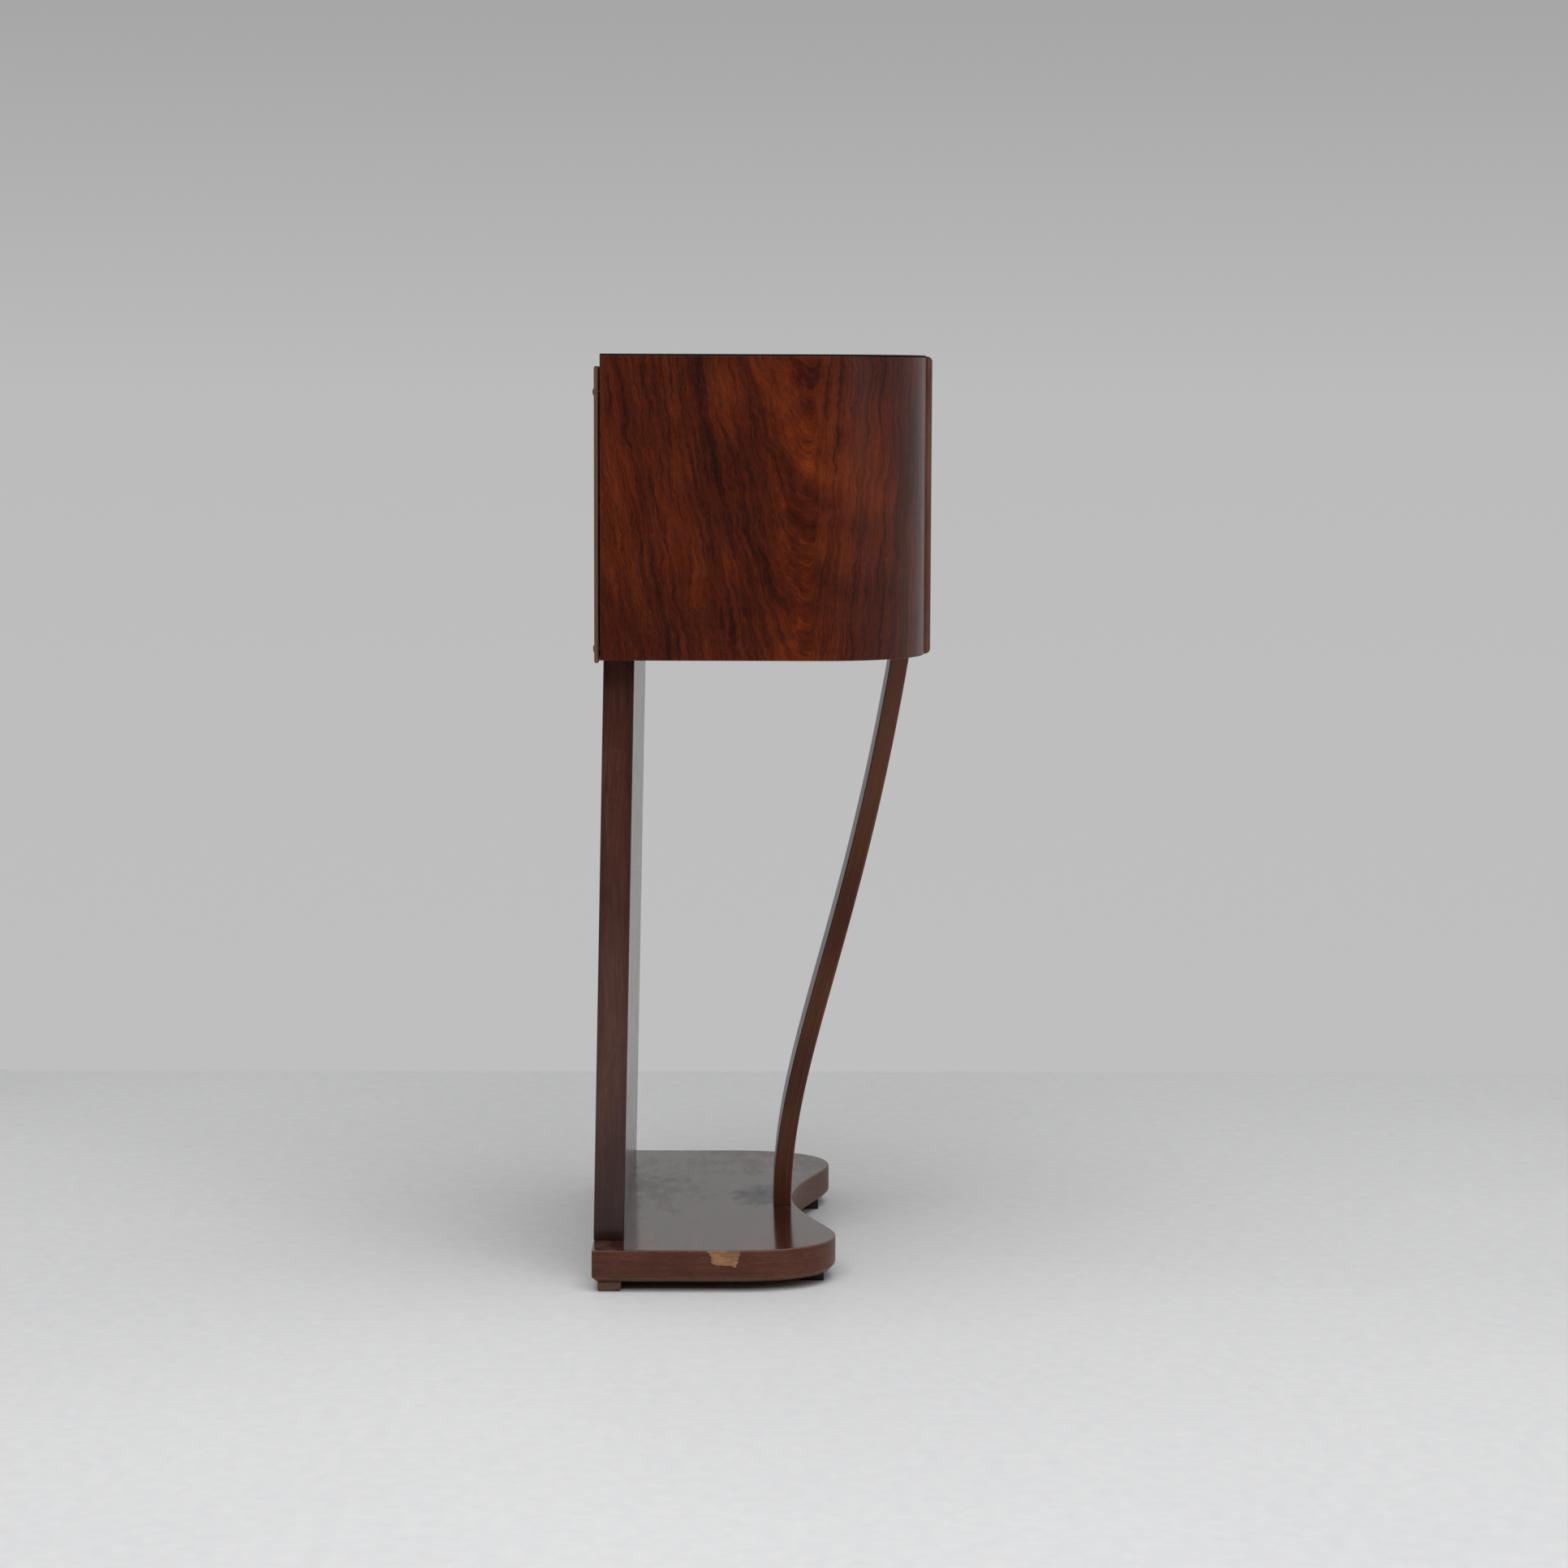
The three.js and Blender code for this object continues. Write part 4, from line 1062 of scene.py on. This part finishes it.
def add_cloth():
    """Speaker cloth held by its edges, a little slack in the middle."""
    low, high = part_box("grille_cloth")
    width, height = high.x - low.x, high.z - low.z
    slack = 0.35 * MM
    columns, rows = 88, 60
    made = bmesh.new()
    grid = []
    for j in range(rows + 1):
        for i in range(columns + 1):
            across, up = i / columns, j / rows
            ease = math.sin(math.pi * across) * math.sin(math.pi * up)
            pull = math.sin(across * 19) * math.sin(up * 13) * 0.2
            depth = high.y - 0.3 * MM - slack * ease * (1 + pull)
            grid.append(made.verts.new((low.x + width * across, depth, low.z + height * up)))
    for j in range(rows):
        for i in range(columns):
            near = j * (columns + 1) + i
            far = near + columns + 1
            made.faces.new([grid[k] for k in (near, near + 1, far + 1, far)])
    cloth = piece("grille_cloth_stretched", made, speaker_cloth("speaker_cloth"), "grille_fabric",
                  stands_for=["grille_cloth"], level=False)
    thread = cloth.modifiers.new("thickness", "SOLIDIFY")
    thread.thickness = 0.4 * MM
    thread.offset = 0.0


def scale_card(name):
    """Parchment-coloured card, browner towards its edge, with printed arcs."""
    card = Finish(name, {"Roughness": 0.6})
    across, _, height = card.parts(card.place(shift=(0.0, 0.0, -DIAL.z)))
    reach = (across * across + height * height) ** 0.5
    mottle = card.noise(card.place(), 60.0, detail=4.0)
    age = card.step(reach + mottle * 0.01, 0.028, 0.060)
    paper = card.mix(age * 0.7, srgb(240, 226, 188), srgb(204, 172, 122))
    fibre = card.noise(card.place(), 900.0, detail=2.0)
    toned = card.mix(fibre * 0.25, paper, srgb(158, 132, 96))
    half_line = 0.26 * MM
    lines = [card.step(abs(reach - radius), half_line * 1.6, half_line) for radius in ARC_RADII]
    printed = sum(lines, 0.0)
    above = card.step(height, -0.001, 0.001)
    card.colour(card.mix(printed * above, toned, srgb(60, 34, 24)))
    card.roughness(fibre * 0.15 + 0.5)
    return card.material


def add_ticks(name, count, inner, length, ink):
    """Arc of short printed lines round the dial's centre, with every fifth one longer."""
    ticks = Repeat(f"{name}_rule", Count=count, Inner=inner, Length=length, Width=0.5 * MM,
                   Depth=0.08 * MM, Start=math.radians(SCALE_START), Sweep=math.radians(SCALE_SWEEP))
    line = ticks.node("GeometryNodeMeshLine", {}, {"Count": ticks.size("Count")})
    index = ticks.node("GeometryNodeInputIndex", {}, {})
    angle = ticks.size("Start") + ticks.size("Sweep") * index / (ticks.size("Count") - 1)
    longer = 1 - (ticks.math("MODULO", index, 5.0) > 0.5)
    stretch = longer * 0.7 + 1
    reach = ticks.size("Inner") + ticks.size("Length") * stretch * 0.5
    cosine = ticks.math("COSINE", angle)
    sine = ticks.math("SINE", angle)
    spread = ticks.node("GeometryNodeSetPosition", {}, {
        "Geometry": line, "Position": ticks.vector(reach * cosine, 0.0, reach * sine)})
    stroke = ticks.node("GeometryNodeMeshCube", {}, {
        "Size": ticks.vector(ticks.size("Length"), ticks.size("Depth"), ticks.size("Width"))})
    placed = ticks.copies(spread, stroke, Rotation=ticks.vector(0.0, angle * -1, 0.0),
                          Scale=ticks.vector(stretch, 1.0, 1.0))
    card_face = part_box("dial_scale")[0].y
    centred = ticks.moved(placed, Translation=(DIAL.x, card_face, DIAL.z))
    ticks.grow(name, centred, ink, "scale_card")


def add_figures(name, words, radius, size, ink):
    """Upright figures on an arc round the dial's centre."""
    card_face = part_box("dial_scale")[0].y
    made = bmesh.new()
    for i, word in enumerate(words):
        data = bpy.data.curves.new("figure", "FONT")
        data.body = word
        data.size = size
        data.extrude = 0.04 * MM
        data.resolution_u = 3
        data.align_x = "CENTER"
        data.align_y = "CENTER"
        lettering = bpy.data.objects.new("figure", data)
        mesh = bpy.data.meshes.new_from_object(lettering)
        angle = math.radians(SCALE_START + SCALE_SWEEP * (1 - i / (len(words) - 1)))
        spot = Vector((radius * math.cos(angle), card_face, DIAL.z + radius * math.sin(angle)))
        mesh.transform(Matrix.Translation(spot) @ Matrix.Rotation(math.radians(90), 4, "X"))
        made.from_mesh(mesh)
        bpy.data.objects.remove(lettering)
        bpy.data.curves.remove(data)
        bpy.data.meshes.remove(mesh)
    piece(name, made, ink, "scale_card")


def add_dial(brass):
    """Bezel, glass and printed scale."""
    low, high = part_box("dial_bezel")
    bezel = pierced_plate(dial_outline(0.3 * MM), [dial_outline(3.2 * MM)], low.y, high.y,
                          rounded_edge(0.6 * MM, 3), rounded_edge(1.6 * MM, 6))
    piece("dial_bezel_pressed", bezel, brass, "brass", stands_for=["dial_bezel"], smooth=40)
    low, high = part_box("dial_glass")
    pane = pierced_plate(dial_outline(0.3 * MM), [], low.y, high.y, rounded_edge(0.3 * MM, 2), [])
    piece("dial_glass_pane", pane, clear_glass("dial_pane", (0.99, 0.985, 0.96)), "clear_glass",
          stands_for=["dial_glass"])
    low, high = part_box("dial_scale")
    card = pierced_plate(rectangle((low.x, low.z), (high.x, high.z)), [circle(DIAL.x, DIAL.z, 4 * MM)],
                         low.y, high.y, rounded_edge(0.1 * MM, 1), [(0.0, 0.0)])
    piece("dial_scale_card", card, scale_card("scale_card"), "scale_card", stands_for=["dial_scale"])
    ink = painted("scale_ink", srgb(30, 16, 12), 0.55, spread=0.2)
    inner, outer = ARC_RADII
    add_ticks("dial_ticks_outer", 71, outer, 1.9 * MM, ink)
    add_ticks("dial_ticks_inner", 41, inner, 1.5 * MM, ink)
    medium_wave = [str(metres) for metres in range(200, 551, 50)]
    long_wave = [str(metres) for metres in range(1000, 2001, 250)]
    add_figures("dial_figures_outer", medium_wave, 40.6 * MM, 6.2 * MM, ink)
    add_figures("dial_figures_inner", long_wave, 18.6 * MM, 4.5 * MM, ink)


def add_pointer(moulding):
    """Tapered needle with a ridge along it, on a round hub."""
    low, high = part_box("dial_pointer")
    hub_profile = [(0.0, low.y), (4.2 * MM, low.y), (5.0 * MM, low.y + 0.5 * MM), (5.0 * MM, high.y),
                   (0.0, high.y)]
    hub = turned(hub_profile, (DIAL.x, DIAL.z), 48)
    rings = []
    for half, reach in millimetres([(1.5, 3), (0.9, 30), (0.45, 43)]):
        section = [(-half, high.y), (-half, low.y + 0.5 * MM), (0.0, low.y + 0.2 * MM),
                   (half, low.y + 0.5 * MM), (half, high.y)]
        rings.append([(x, y, DIAL.z + reach) for x, y in section])
    needle = stack(rings)
    bmesh.ops.recalc_face_normals(needle, faces=needle.faces)
    piece("dial_pointer_needle", joined(hub, needle), moulding, "dark_moulding", "tuning_gang",
          ["dial_pointer"])


def add_lamps(brass):
    """Two small bulbs with threaded caps, behind the scale."""
    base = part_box("dial_pointer")[1].y + 3.6 * MM
    lamp_glass = clear_glass("lamp_glass", (0.98, 0.95, 0.86))
    bulb_profile = millimetres([(0, 2), (1.6, 2.2), (3.2, 3.6), (4.4, 6.6), (4.6, 8.4), (4.0, 10.8),
                                (3.4, 12), (0, 12)], base)
    thread = [(4.6 if i % 2 else 5.0, 13 + i) for i in range(9)]
    cap_profile = millimetres([(0, 12), (4.4, 12.1)] + thread + [(3.0, 22), (0, 22)], base)
    for node in ("dial_lamp_left", "dial_lamp_right"):
        centre = middle(node).xz
        bulb = turned(bulb_profile, centre, 32)
        piece(f"{node}_bulb", bulb, lamp_glass, "clear_glass", stands_for=[node], smooth=60)
        piece(f"{node}_cap", turned(cap_profile, centre, 32), brass, "brass", smooth=60)


# ------------------------------------------------------------------ controls
KNOB_BODIES = {"volume": "volume_shaft", "tuning": "tuning_shaft", "waveband": "waveband_shaft"}
KNOB_PROFILE = [(0, 1.1), (4, 1.0), (8, 0.65), (10.2, 0.2), (11.0, 0.0), (11.7, 0.05), (12.3, 0.5),
                (12.7, 1.3), (13.7, 1.8), (14.4, 2.9), (14.6, 9.0), (14.7, 16.6),
                (14.7, 17.3), (15.0, 17.8), (15.0, 20.5), (14.5, 21.0), (3.3, 21.0), (3.3, 5.7), (0, 5.7)]
FLUTED_ROWS = range(8, 12)


def add_knobs(moulding, marker):
    """Three dished knobs with fluted sides and a skirt; two carry a marker line."""
    for control, body in KNOB_BODIES.items():
        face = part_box(f"{control}_knob")[0].y
        centre = middle(f"{control}_knob").xz
        profile = millimetres(KNOB_PROFILE, face)
        made = turned(profile, centre, 168, flute=0.9 * MM, flutes=28, fluted=FLUTED_ROWS)
        piece(f"{control}_knob_fluted", made, moulding, "dark_moulding", body, [f"{control}_knob"],
              smooth=50)
        if control != "tuning":
            half = 0.6 * MM
            line = block((centre.x - half, face + 0.25 * MM, centre.y + 4.5 * MM),
                         (centre.x + half, face + 1.6 * MM, centre.y + 10 * MM))
            piece(f"{control}_knob_marker", line, marker, "scale_card", body, bevel=0.2 * MM)


def add_tray(finish):
    """Niche behind the fascia: a deep rim and a back with three spindle holes."""
    low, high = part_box("control_tray")
    floor_y = high.y - 4 * MM
    outer = rounded_rectangle((low.x, low.z), (high.x, high.z), 8 * MM)
    niche = rounded_rectangle(*NICHE, NICHE_CORNER, 12)
    rim = pierced_plate(outer, [niche], low.y, floor_y, [(0.0, 0.0)], rounded_edge(0.4 * MM, 2))
    holes = [circle(*middle(f"{control}_knob").xz, 4 * MM) for control in KNOB_BODIES]
    back = pierced_plate(outer, holes, floor_y, high.y, [(0.0, 0.0)], rounded_edge(0.4 * MM, 2))
    piece("control_tray_lined", joined(rim, back), finish, "dark_wood", stands_for=["control_tray"])


def add_spindles(steel, brass, moulding):
    """Spindles with the controls behind them, and the brass disc of the friction drive."""
    for control, body in KNOB_BODIES.items():
        metal, slot = (brass, "brass") if control == "tuning" else (steel, "plated_steel")
        eased(f"{control}_spindle", metal, slot, body, bevel=0.3 * MM, smooth=50)
    eased("tuning_bush", brass, "brass", bevel=0.3 * MM, smooth=50)
    eased("volume_control", moulding, "dark_moulding", bevel=0.6 * MM, smooth=50)
    eased("waveband_switch", moulding, "dark_moulding", bevel=0.6 * MM, smooth=50)
    low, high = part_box("drive_disc")
    rim = (high.x - low.x) / 2
    thick = 3 * MM
    profile = [(3.3 * MM, low.y), (rim - 4 * MM, low.y), (rim - 3.4 * MM, low.y + 0.5 * MM),
               (rim - 1.2 * MM, low.y + 0.5 * MM), (rim, low.y + 1.1 * MM), (rim, low.y + thick - 0.4 * MM),
               (rim - 0.4 * MM, low.y + thick), (8 * MM, low.y + thick), (7.6 * MM, high.y),
               (3.3 * MM, high.y)]
    disc = turned(profile, (DIAL.x, DIAL.z), 192, flute=0.25 * MM, flutes=64, fluted=range(4, 6))
    piece("drive_disc_milled", disc, brass, "brass", "tuning_gang", ["drive_disc"], smooth=40)


# ------------------------------------------------------------------ loudspeaker
def add_speaker(iron, paper, core_iron):
    """Pressed basket with six windows, field magnet and a paper cone with ribs in its rim."""
    # the profiles' levels are depths along Y, counted from the frame's origin
    centre = SPEAKER.xz
    rim = turned(millimetres([(70.4, -162.7), (79, -162.7), (79, -160.4), (78.6, -160.2), (74, -160.2),
                              (70.4, -155.8), (68.6, -156.8)]), centre, 96)
    hub = turned(millimetres([(42.2, -123.0), (38.4, -118.5), (37.6, -118.3), (17, -118.3), (17, -120.8),
                              (36.5, -120.8), (40.4, -124.4)]), centre, 96)
    half = 8 * MM
    arms = []
    for i in range(6):
        slope = [((69.2, -157.3), (71.2, -155.8)), ((40.2, -124.8), (42.4, -122.4))]
        rings = [[(-half, level * MM, radius * MM) if side else (half, level * MM, radius * MM)
                  for side, (radius, level) in ((0, near), (1, near), (1, far), (0, far))]
                 for near, far in slope]
        arm = stack(rings)
        bmesh.ops.recalc_face_normals(arm, faces=arm.faces)
        turn = Matrix.Rotation(math.radians(60 * i + 30), 4, "Y")
        arm.transform(Matrix.Translation((SPEAKER.x, 0.0, SPEAKER.z)) @ turn)
        arms.append(arm)
    piece("speaker_basket_pressed", joined(rim, hub, *arms), iron, "dark_iron",
          stands_for=["speaker_basket"])
    pot = turned(millimetres([(0, -127), (9.8, -127), (10.5, -126.3), (10.5, -100), (15.5, -100),
                              (15.5, -118), (32.5, -118), (34, -116.5), (34, -66), (32, -64),
                              (0, -64)]), centre, 96)
    piece("speaker_magnet_pot", pot, core_iron, "dark_iron", stands_for=["speaker_magnet"])
    front = [(14.5 + 48.5 * i / 48, i / 48) for i in range(49)]
    face = []
    for radius, share in front:
        rib = 0.4 * math.sin(share * 90) if share > 0.72 else 0.0
        face.append((radius, -131 - 29.2 * share ** 0.92 + rib))
    roll = [(63 + 6.5 * i / 12, -160.2 - 0.6 * abs(math.sin(math.pi * i / 6))) for i in range(1, 13)]
    back = [(radius, level + 0.8) for radius, level in reversed(face[1:] + roll)]
    cap = [(0, -134), (5, -133.7), (10, -132.7)]
    former = [(14, -128), (14, -106), (12.6, -106), (12.6, -129), (0, -131.5)]
    cone = turned(millimetres(cap + face + roll + back + former), centre, 96)
    piece("speaker_cone_paper", cone, paper, "cone_paper", "cone_body", ["speaker_cone"], smooth=50)


# ------------------------------------------------------------------ chassis
def add_stack(name, low, high, plates, iron):
    """Transformer core: thin iron plates stacked along Y, by geometry nodes."""
    core = Repeat(f"{name}_rule", Count=plates, Size=(high.x - low.x, high.z - low.z, 0.0),
                  Depth=high.y - low.y, Share=0.82)
    wide, tall, _ = core.parts(core.size("Size"))
    step = core.size("Depth") / core.size("Count")
    line = core.node("GeometryNodeMeshLine", {}, {
        "Count": core.size("Count"), "Offset": core.vector(0.0, step, 0.0)})
    jog = core.node("FunctionNodeRandomValue", {"data_type": "FLOAT"}, {
        "Min": 0.985, "Max": 1.0, "Seed": 3}, 1)
    plate = core.node("GeometryNodeMeshCube", {}, {
        "Size": core.vector(wide, step * core.size("Share"), tall)})
    placed = core.copies(line, plate, Scale=core.vector(jog, 1.0, jog))
    centre = (low + high) / 2
    first = low.y + (high.y - low.y) / plates / 2
    core.grow(name, core.moved(placed, Translation=(centre.x, first, centre.z)), iron, "dark_iron")


def add_transformer(node, plates, iron, paper, steel):
    """Laminated core, paper-wrapped winding and four clamping bolts."""
    low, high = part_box(node)
    ledge = 8 * MM
    core_low = Vector((low.x, low.y + ledge, low.z))
    core_high = Vector((high.x, high.y - ledge, high.z))
    add_stack(f"{node}_core", core_low, core_high, plates, iron)
    level, reach = (low.z + high.z) / 2, (high.z - low.z) * 0.34
    winding = block((low.x + 9 * MM, low.y, level - reach), (high.x - 9 * MM, high.y, level + reach))
    piece(f"{node}_winding", winding, paper, "cone_paper", stands_for=[node], bevel=4 * MM, segments=4)
    bolts = []
    near, far, radius = core_low.y - 2.4 * MM, core_high.y + 2.4 * MM, 3.0 * MM
    bolt = [(0.0, near), (radius, near), (radius, far), (0.0, far)]
    for x in (low.x + 5 * MM, high.x - 5 * MM):
        for z in (low.z + 5 * MM, high.z - 5 * MM):
            bolts.append(turned(bolt, (x, z), 6))
    piece(f"{node}_bolts", joined(*bolts), steel, "plated_steel", bevel=0.3 * MM)


def add_valves(moulding, dark_metal):
    """Five shouldered glass valves with moulded bases, each on its own holder."""
    glass = clear_glass("valve_glass", (0.90, 0.92, 0.90), 0.25)
    mica = painted("valve_mica", srgb(176, 166, 146), 0.45)
    outer = [(15.4, 25), (17.6, 26), (20, 28.5), (22.2, 36), (23, 46), (22.6, 55), (20.6, 63), (17.4, 70),
             (15.4, 77), (14.6, 84), (13.6, 91), (11.2, 97), (7.2, 101.2), (0, 103)]
    inner = [(max(radius - 0.9, 0), level - 0.7 if level > 60 else level)
             for radius, level in reversed(outer)]
    base = [(0, 0), (15.2, 0), (16, 0.8), (16, 6), (16.6, 7), (16.8, 20), (17, 24.6), (16.4, 25.4),
            (15, 25.6), (0, 25.6)]
    anode = [(0, 38), (8.8, 38), (9, 38.4), (9, 68), (8.6, 68.4), (0, 68.4)]
    for i in range(1, 6):
        node = f"valve_{i}"
        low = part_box(node)[0]
        centre = middle(node).xy
        bulb = turned(millimetres([(14.5, 25.2)] + outer + inner, low.z), centre, 48, upright=True)
        piece(f"{node}_bulb", bulb, glass, "clear_glass", stands_for=[node], smooth=60)
        moulded = turned(millimetres(base, low.z), centre, 48, upright=True)
        piece(f"{node}_base", moulded, moulding, "dark_moulding", smooth=50)
        plate = turned(millimetres(anode, low.z), centre, 40, upright=True, flute=0.8 * MM, flutes=8,
                       fluted=range(1, 5))
        piece(f"{node}_anode", plate, dark_metal, "dark_iron", smooth=50)
        discs = []
        for level in (36.8, 69.2):
            rim = millimetres([(0, level), (13, level), (13, level + 0.6), (0, level + 0.6)], low.z)
            discs.append(turned(rim, centre, 32, upright=True))
        neck = millimetres([(0, 25.8), (5, 25.8), (3.4, 36.4), (0, 36.4)], low.z)
        stem = turned(neck, centre, 24, upright=True)
        piece(f"{node}_supports", joined(stem, *discs), mica, "scale_card", smooth=40)


def add_cans(metal):
    """Screening cans and smoothing capacitors: drawn aluminium with rolled rims."""
    for node, bead in (("coil_can_left", 6), ("coil_can_right", 6),
                       ("smoothing_capacitor_left", 14), ("smoothing_capacitor_right", 14)):
        low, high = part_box(node)
        radius, height = (high.x - low.x) / 2 / MM, (high.z - low.z) / MM
        groove = [(radius, bead - 2), (radius - 0.9, bead - 1), (radius - 1.2, bead),
                  (radius - 0.9, bead + 1), (radius, bead + 2)]
        crown = [(radius, height - 3), (radius - 0.3, height - 1.8), (radius - 1.2, height - 0.6),
                 (radius - 2.6, height)]
        dimple = [(radius * 0.42, height), (radius * 0.38, height - 0.8), (radius * 0.2, height - 1.0),
                  (0, height - 1.0)]
        profile = [(0, 0), (radius - 0.3, 0), (radius, 0.5)] + groove + crown + dimple
        can = turned(millimetres(profile, low.z), middle(node).xy, 64, upright=True)
        piece(f"{node}_drawn", can, metal, "aluminium", stands_for=[node], smooth=40)


def add_sockets(moulding, brass):
    """Mains inlet and aerial sockets, with brass sleeves in their holes."""
    for node, offsets in (("mains_inlet", (-9.5, 9.5)), ("aerial_sockets", (-21, -7, 7, 21))):
        low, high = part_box(node)
        spot = middle(node)
        eased(node, moulding, "dark_moulding", bevel=0.5 * MM)
        rim, foot = high.y + 0.5 * MM, low.y + 5 * MM
        sleeve = [(1.5 * MM, rim), (3.2 * MM, rim), (3.4 * MM, high.y), (2.1 * MM, high.y),
                  (2.1 * MM, foot), (1.5 * MM, foot)]
        sleeves = [turned(sleeve, (spot.x + offset * MM, spot.z), 32) for offset in offsets]
        piece(f"{node}_sleeves", joined(*sleeves), brass, "brass", smooth=40)


# ------------------------------------------------------------------ assembly
place_camera()
bpy.context.scene.view_settings.view_transform = "Standard"
surroundings()
floor()
softbox("ceiling", (-2.0, 0.0, 3.6), (-1.1, 0.0, 0.0), (4.0, 5.0), 172)
softbox("front_fill", (-2.6, -2.6, 1.9), (0.0, 0.0, 0.6), (1.6, 1.6), 16)

add_plinth()
add_strut()
add_panel_and_feet()
SIDE_VENEER = rosewood_veneer("rosewood_side", 0.220, 0.30)
TOP_VENEER = rosewood_veneer("rosewood_top", 0.16, 0.20)
FRONT_VENEER = rosewood_veneer("rosewood_front", 0.135, 0.26, pale=0.03)
# near-black colour of the top panel's lip, the thin dark line along the cabinet's top
DARK_EDGE = painted("top_edge_dark", srgb(16, 9, 8), 0.7, constants={"Specular IOR Level": 0.15})
add_wrap(SIDE_VENEER)
add_top(TOP_VENEER, DARK_EDGE)
add_fascia(FRONT_VENEER)
add_back_cover()

BROWNS = [srgb(40, 24, 18), srgb(66, 42, 32), srgb(92, 62, 48)]
PINE = [srgb(112, 82, 52), srgb(150, 114, 74), srgb(180, 142, 98)]
BOARD_WOOD = straight_wood("bare_softwood", PINE, "X", gloss=0.75, lacquer=0.0, dust=0.3)
BATTEN_WOOD = straight_wood("batten_softwood", PINE, "Z", gloss=0.75, lacquer=0.0, dust=0.3)
INNER_WOOD = straight_wood("inner_board", BROWNS, "X", gloss=0.6, lacquer=0.1, dust=0.2)
REDS = [srgb(46, 20, 10), srgb(74, 34, 16), srgb(100, 52, 26)]
BAR_WOOD = straight_wood("bar_wood", REDS, "X", gloss=0.28)
# darker tones for the niche wood: painted shade for the recessed niche
SHADED = [srgb(26, 15, 12), srgb(42, 25, 20), srgb(58, 38, 30)]
NICHE_WOOD = straight_wood("niche_wood", SHADED, "X", gloss=0.4)
MOULDING = painted("bakelite", srgb(34, 18, 13), 0.30, speck=160.0, spread=0.25,
                   constants={"Coat Weight": 0.5})
BRASS = painted("aged_brass", srgb(178, 140, 78), 0.34, speck=220.0, metallic=1.0, spread=0.2)
STEEL = painted("plated_steel", srgb(150, 148, 142), 0.42, speck=260.0, metallic=1.0, spread=0.15)
SCREW_STEEL = painted("dull_screw_steel", srgb(96, 84, 74), 0.5, speck=500.0, metallic=0.9, spread=0.3)
ALUMINIUM = painted("drawn_aluminium", srgb(188, 188, 184), 0.38, speck=120.0, metallic=1.0, spread=0.1)
IRON = painted("black_japanned_iron", srgb(34, 33, 33), 0.38, speck=240.0, spread=0.3)
CORE_IRON = painted("core_iron", srgb(70, 62, 56), 0.6, speck=500.0, metallic=0.6, spread=0.35)
PAPER = painted("cone_paper", srgb(92, 78, 62), 0.85, speck=700.0, spread=0.25)
WINDING_PAPER = painted("winding_paper", srgb(150, 112, 66), 0.6, speck=300.0, spread=0.2)
IVORY = painted("ivory_inlay", srgb(214, 200, 166), 0.4, speck=400.0)
add_cover_screws(SCREW_STEEL)
add_grille(BAR_WOOD, BOARD_WOOD)
add_cloth()
add_dial(BRASS)
add_pointer(MOULDING)
add_lamps(BRASS)
add_knobs(MOULDING, IVORY)
add_tray(NICHE_WOOD)
add_spindles(STEEL, BRASS, MOULDING)
add_speaker(IRON, PAPER, CORE_IRON)
add_transformer("mains_transformer", 59, CORE_IRON, WINDING_PAPER, STEEL)
add_transformer("output_transformer", 34, CORE_IRON, WINDING_PAPER, STEEL)
add_valves(MOULDING, IRON)
add_cans(ALUMINIUM)
add_sockets(MOULDING, BRASS)
eased("chassis_pan", STEEL, "plated_steel", bevel=0.5 * MM)
eased("bottom_panel", INNER_WOOD, "dark_wood", bevel=0.6 * MM)
for batten in ("rear_batten_left", "rear_batten_right"):
    eased(batten, BATTEN_WOOD, "bare_wood", bevel=0.8 * MM)
for node in ("tuning_frame", "tuning_rotor"):
    refinish(node, ALUMINIUM)
